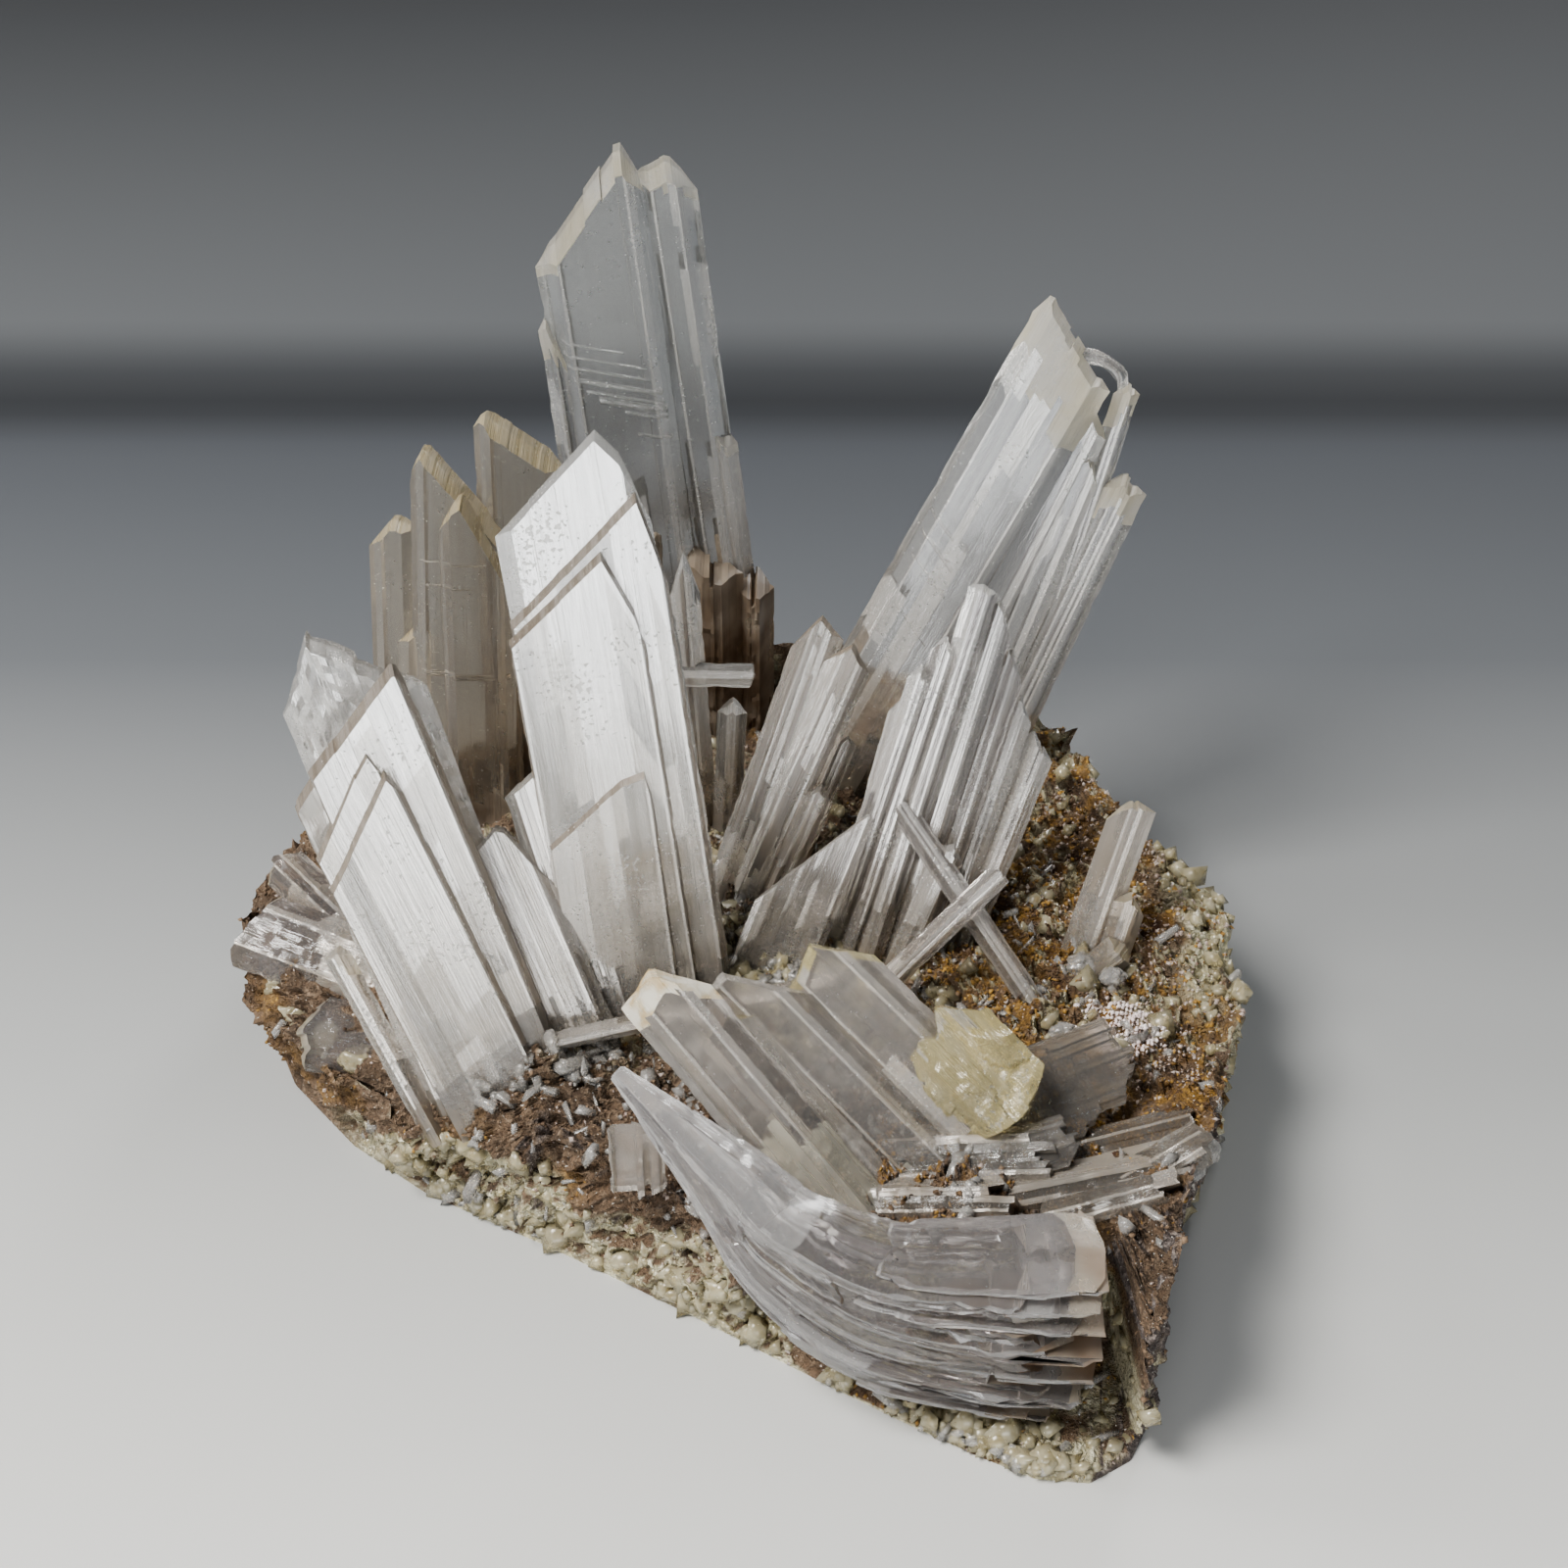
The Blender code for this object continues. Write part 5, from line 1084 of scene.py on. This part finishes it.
for name, material, shape, shape_faces, count, small, large, stretch_by, where in GRAINS:
    places, chosen = pick(rng, grid, where, count)
    sizes = rng.uniform(small, large, (count, 3)) * rng.uniform(0.5, 1.0, (count, 1))
    places = places - SUNK * sizes.mean(axis=1, keepdims=True) * normals[chosen]
    sizes[:, 2] *= stretch_by
    grains = scatter(name, shape, shape_faces, places, sizes, rng, 0.3)
    finish_piece(grains, "matrix", [material])

# Rounded clear lumps at the far left, and the shiny one at the right: middle and size.
LUMPS = np.array([(-42, -5.5, 12.5, 2.6), (-38.5, -8.5, 12, 2.0), (-45.5, -2.5, 12.5, 2.2), (-47.5, 1, 13.5, 1.8),
                  (42, -28.5, 17.5, 2.6), (44.5, -26, 17, 2.0), (39.5, -30.5, 16.5, 1.8), (35.5, -1, 18, 1.7),
                  (38.5, -2.5, 18, 1.4), (33, -10.5, 17.5, 1.5)])
around, upwards = np.meshgrid(np.linspace(0, 2 * np.pi, 40, endpoint=False), np.linspace(0, np.pi, 22), indexing="ij")


def lump_object(row, seed):
    """A rounded lump: a ball of (around, upwards) whose radius is a broken-facet noise."""
    ball = np.stack([np.cos(around) * np.sin(upwards), np.sin(around) * np.sin(upwards), -np.cos(upwards)], axis=-1)
    radius = row[3] * (1 + 0.20 * chunks(ball, 1.6, seed) + 0.05 * noise(ball, 4.0, seed))
    place = row[:3] + ball * radius[..., None] * np.array([1.0, 0.9, 0.75])
    index = np.arange(place[..., 0].size).reshape(place.shape[:2])
    after = np.roll(index, -1, axis=0)
    index[:, 0], index[:, -1] = index[0, 0], index[0, -1]
    after[:, 0], after[:, -1] = index[0, 0], index[0, -1]
    low = np.stack([index[:, :-1], after[:, :-1], after[:, 1:]], axis=-1)[:, 1:].reshape(-1, 3)
    high = np.stack([index[:, :-1], after[:, 1:], index[:, 1:]], axis=-1)[:, :-1].reshape(-1, 3)
    made = mesh_object("clear_lump", place.reshape(-1, 3), np.concatenate([low, high]))
    made.data.validate()
    return made


for i, row in enumerate(LUMPS):
    lump = lump_object(row, 40 + i)
    lump.name = f"clear_lump_{i + 1}"
    finish_piece(lump, "matrix", [clear_bit if i > 3 else crust_glass])


def plain_finish(name, colours, roughness):
    """A plain matt finish that runs through (y in metres, colour) pairs from front to back."""
    made, tree, shader = blank(name)
    place = node_of(tree, "ShaderNodeTexCoord").outputs["Object"]
    parted = node_of(tree, "ShaderNodeSeparateXYZ")
    tree.links.new(place, parted.inputs[0])
    low, high = colours[0][0], colours[-1][0]
    share = band(tree, parted.outputs["Y"], low, high)
    steps = node_of(tree, "ShaderNodeValToRGB")
    while len(steps.color_ramp.elements) < len(colours):
        steps.color_ramp.elements.new(0.5)
    for element, (where, colour) in zip(steps.color_ramp.elements, colours):
        element.position = (where - low) / (high - low)
        element.color = (*colour, 1.0)
    tree.links.new(share, steps.inputs[0])
    tree.links.new(steps.outputs[0], shader.inputs["Base Color"])
    shader.inputs["Roughness"].default_value = roughness
    shader.inputs["Specular IOR Level"].default_value = 0.15
    return made


def studio():
    """Pale floor that greys towards the back as a painted shade for the light's fall-off, soft lights and the camera at
    the photograph's angle.
    """
    floor = mesh_object("pale_floor", np.array([(-900, -420, 0), (900, -420, 0), (900, 900, 0), (-900, 900, 0)], float),
                        [(0, 1, 2, 3)])
    # The floor's colours darken from front to back: painted shade for the light's fall-off, with a painted dark band
    # across it behind the specimen.
    floor.data.materials.append(plain_finish("floor_painted_falloff", [
        (-0.20, (0.80, 0.80, 0.76)), (-0.06, (0.62, 0.62, 0.60)), (0.0, (0.37, 0.375, 0.37)),
        (0.08, (0.125, 0.132, 0.14)),
        (0.134, (0.078, 0.083, 0.092)), (0.146, (0.034, 0.036, 0.039)), (0.158, (0.055, 0.058, 0.062)),
        (0.172, (0.115, 0.12, 0.125)), (0.33, (0.055, 0.057, 0.06)), (0.9, (0.03, 0.03, 0.032))], 0.8))
    world = bpy.data.worlds.new("soft_grey")
    world.use_nodes = True
    world.node_tree.nodes["Background"].inputs["Color"].default_value = (0.72, 0.76, 0.82, 1)
    world.node_tree.nodes["Background"].inputs["Strength"].default_value = 0.22
    bpy.context.scene.world = world
    bpy.context.scene.view_settings.look = "AgX - Medium High Contrast"
    lamps = [("key_softbox", (-0.30, -0.12, 0.55), (0, 0, 0.03), 0.26, 0.26, 5.5, (1.0, 0.98, 0.95)),
             ("front_panel", (0.05, -0.80, 0.02), (0, 0, 0.05), 0.8, 0.45, 6.5, (0.96, 0.98, 1.0)),
             ("rear_softbox", (0.25, 0.50, 0.30), (0, 0, 0.04), 0.16, 0.16, 1.3, (1.0, 1.0, 1.0)),
             ("left_strip", (-0.55, 0.12, 0.25), (0, 0, 0.04), 0.10, 0.40, 1.4, (1.0, 1.0, 1.0))]
    for name, place, aim, wide, tall, power, colour in lamps:
        lamp = bpy.data.lights.new(name, "AREA")
        lamp.shape = "RECTANGLE"
        lamp.size, lamp.size_y = wide, tall
        lamp.energy = power
        lamp.color = colour
        holder = bpy.data.objects.new(name, lamp)
        holder.location = place
        holder.rotation_euler = (Vector(aim) - Vector(place)).to_track_quat("-Z", "Y").to_euler()
        bpy.context.scene.collection.objects.link(holder)
    camera = bpy.data.cameras.new("photo_view")
    camera.sensor_width = 36.0
    camera.lens = 58.5
    camera.clip_start = 0.01
    eye = bpy.data.objects.new("photo_view", camera)
    elevation = math.radians(38.0)
    target = Vector((0.005, 0.009, 0.034))
    sight = Vector((0, math.cos(elevation), -math.sin(elevation)))
    eye.location = target - sight * 0.260
    eye.rotation_euler = (math.pi / 2 - elevation, 0, 0)
    bpy.context.scene.collection.objects.link(eye)
    bpy.context.scene.camera = eye


studio()
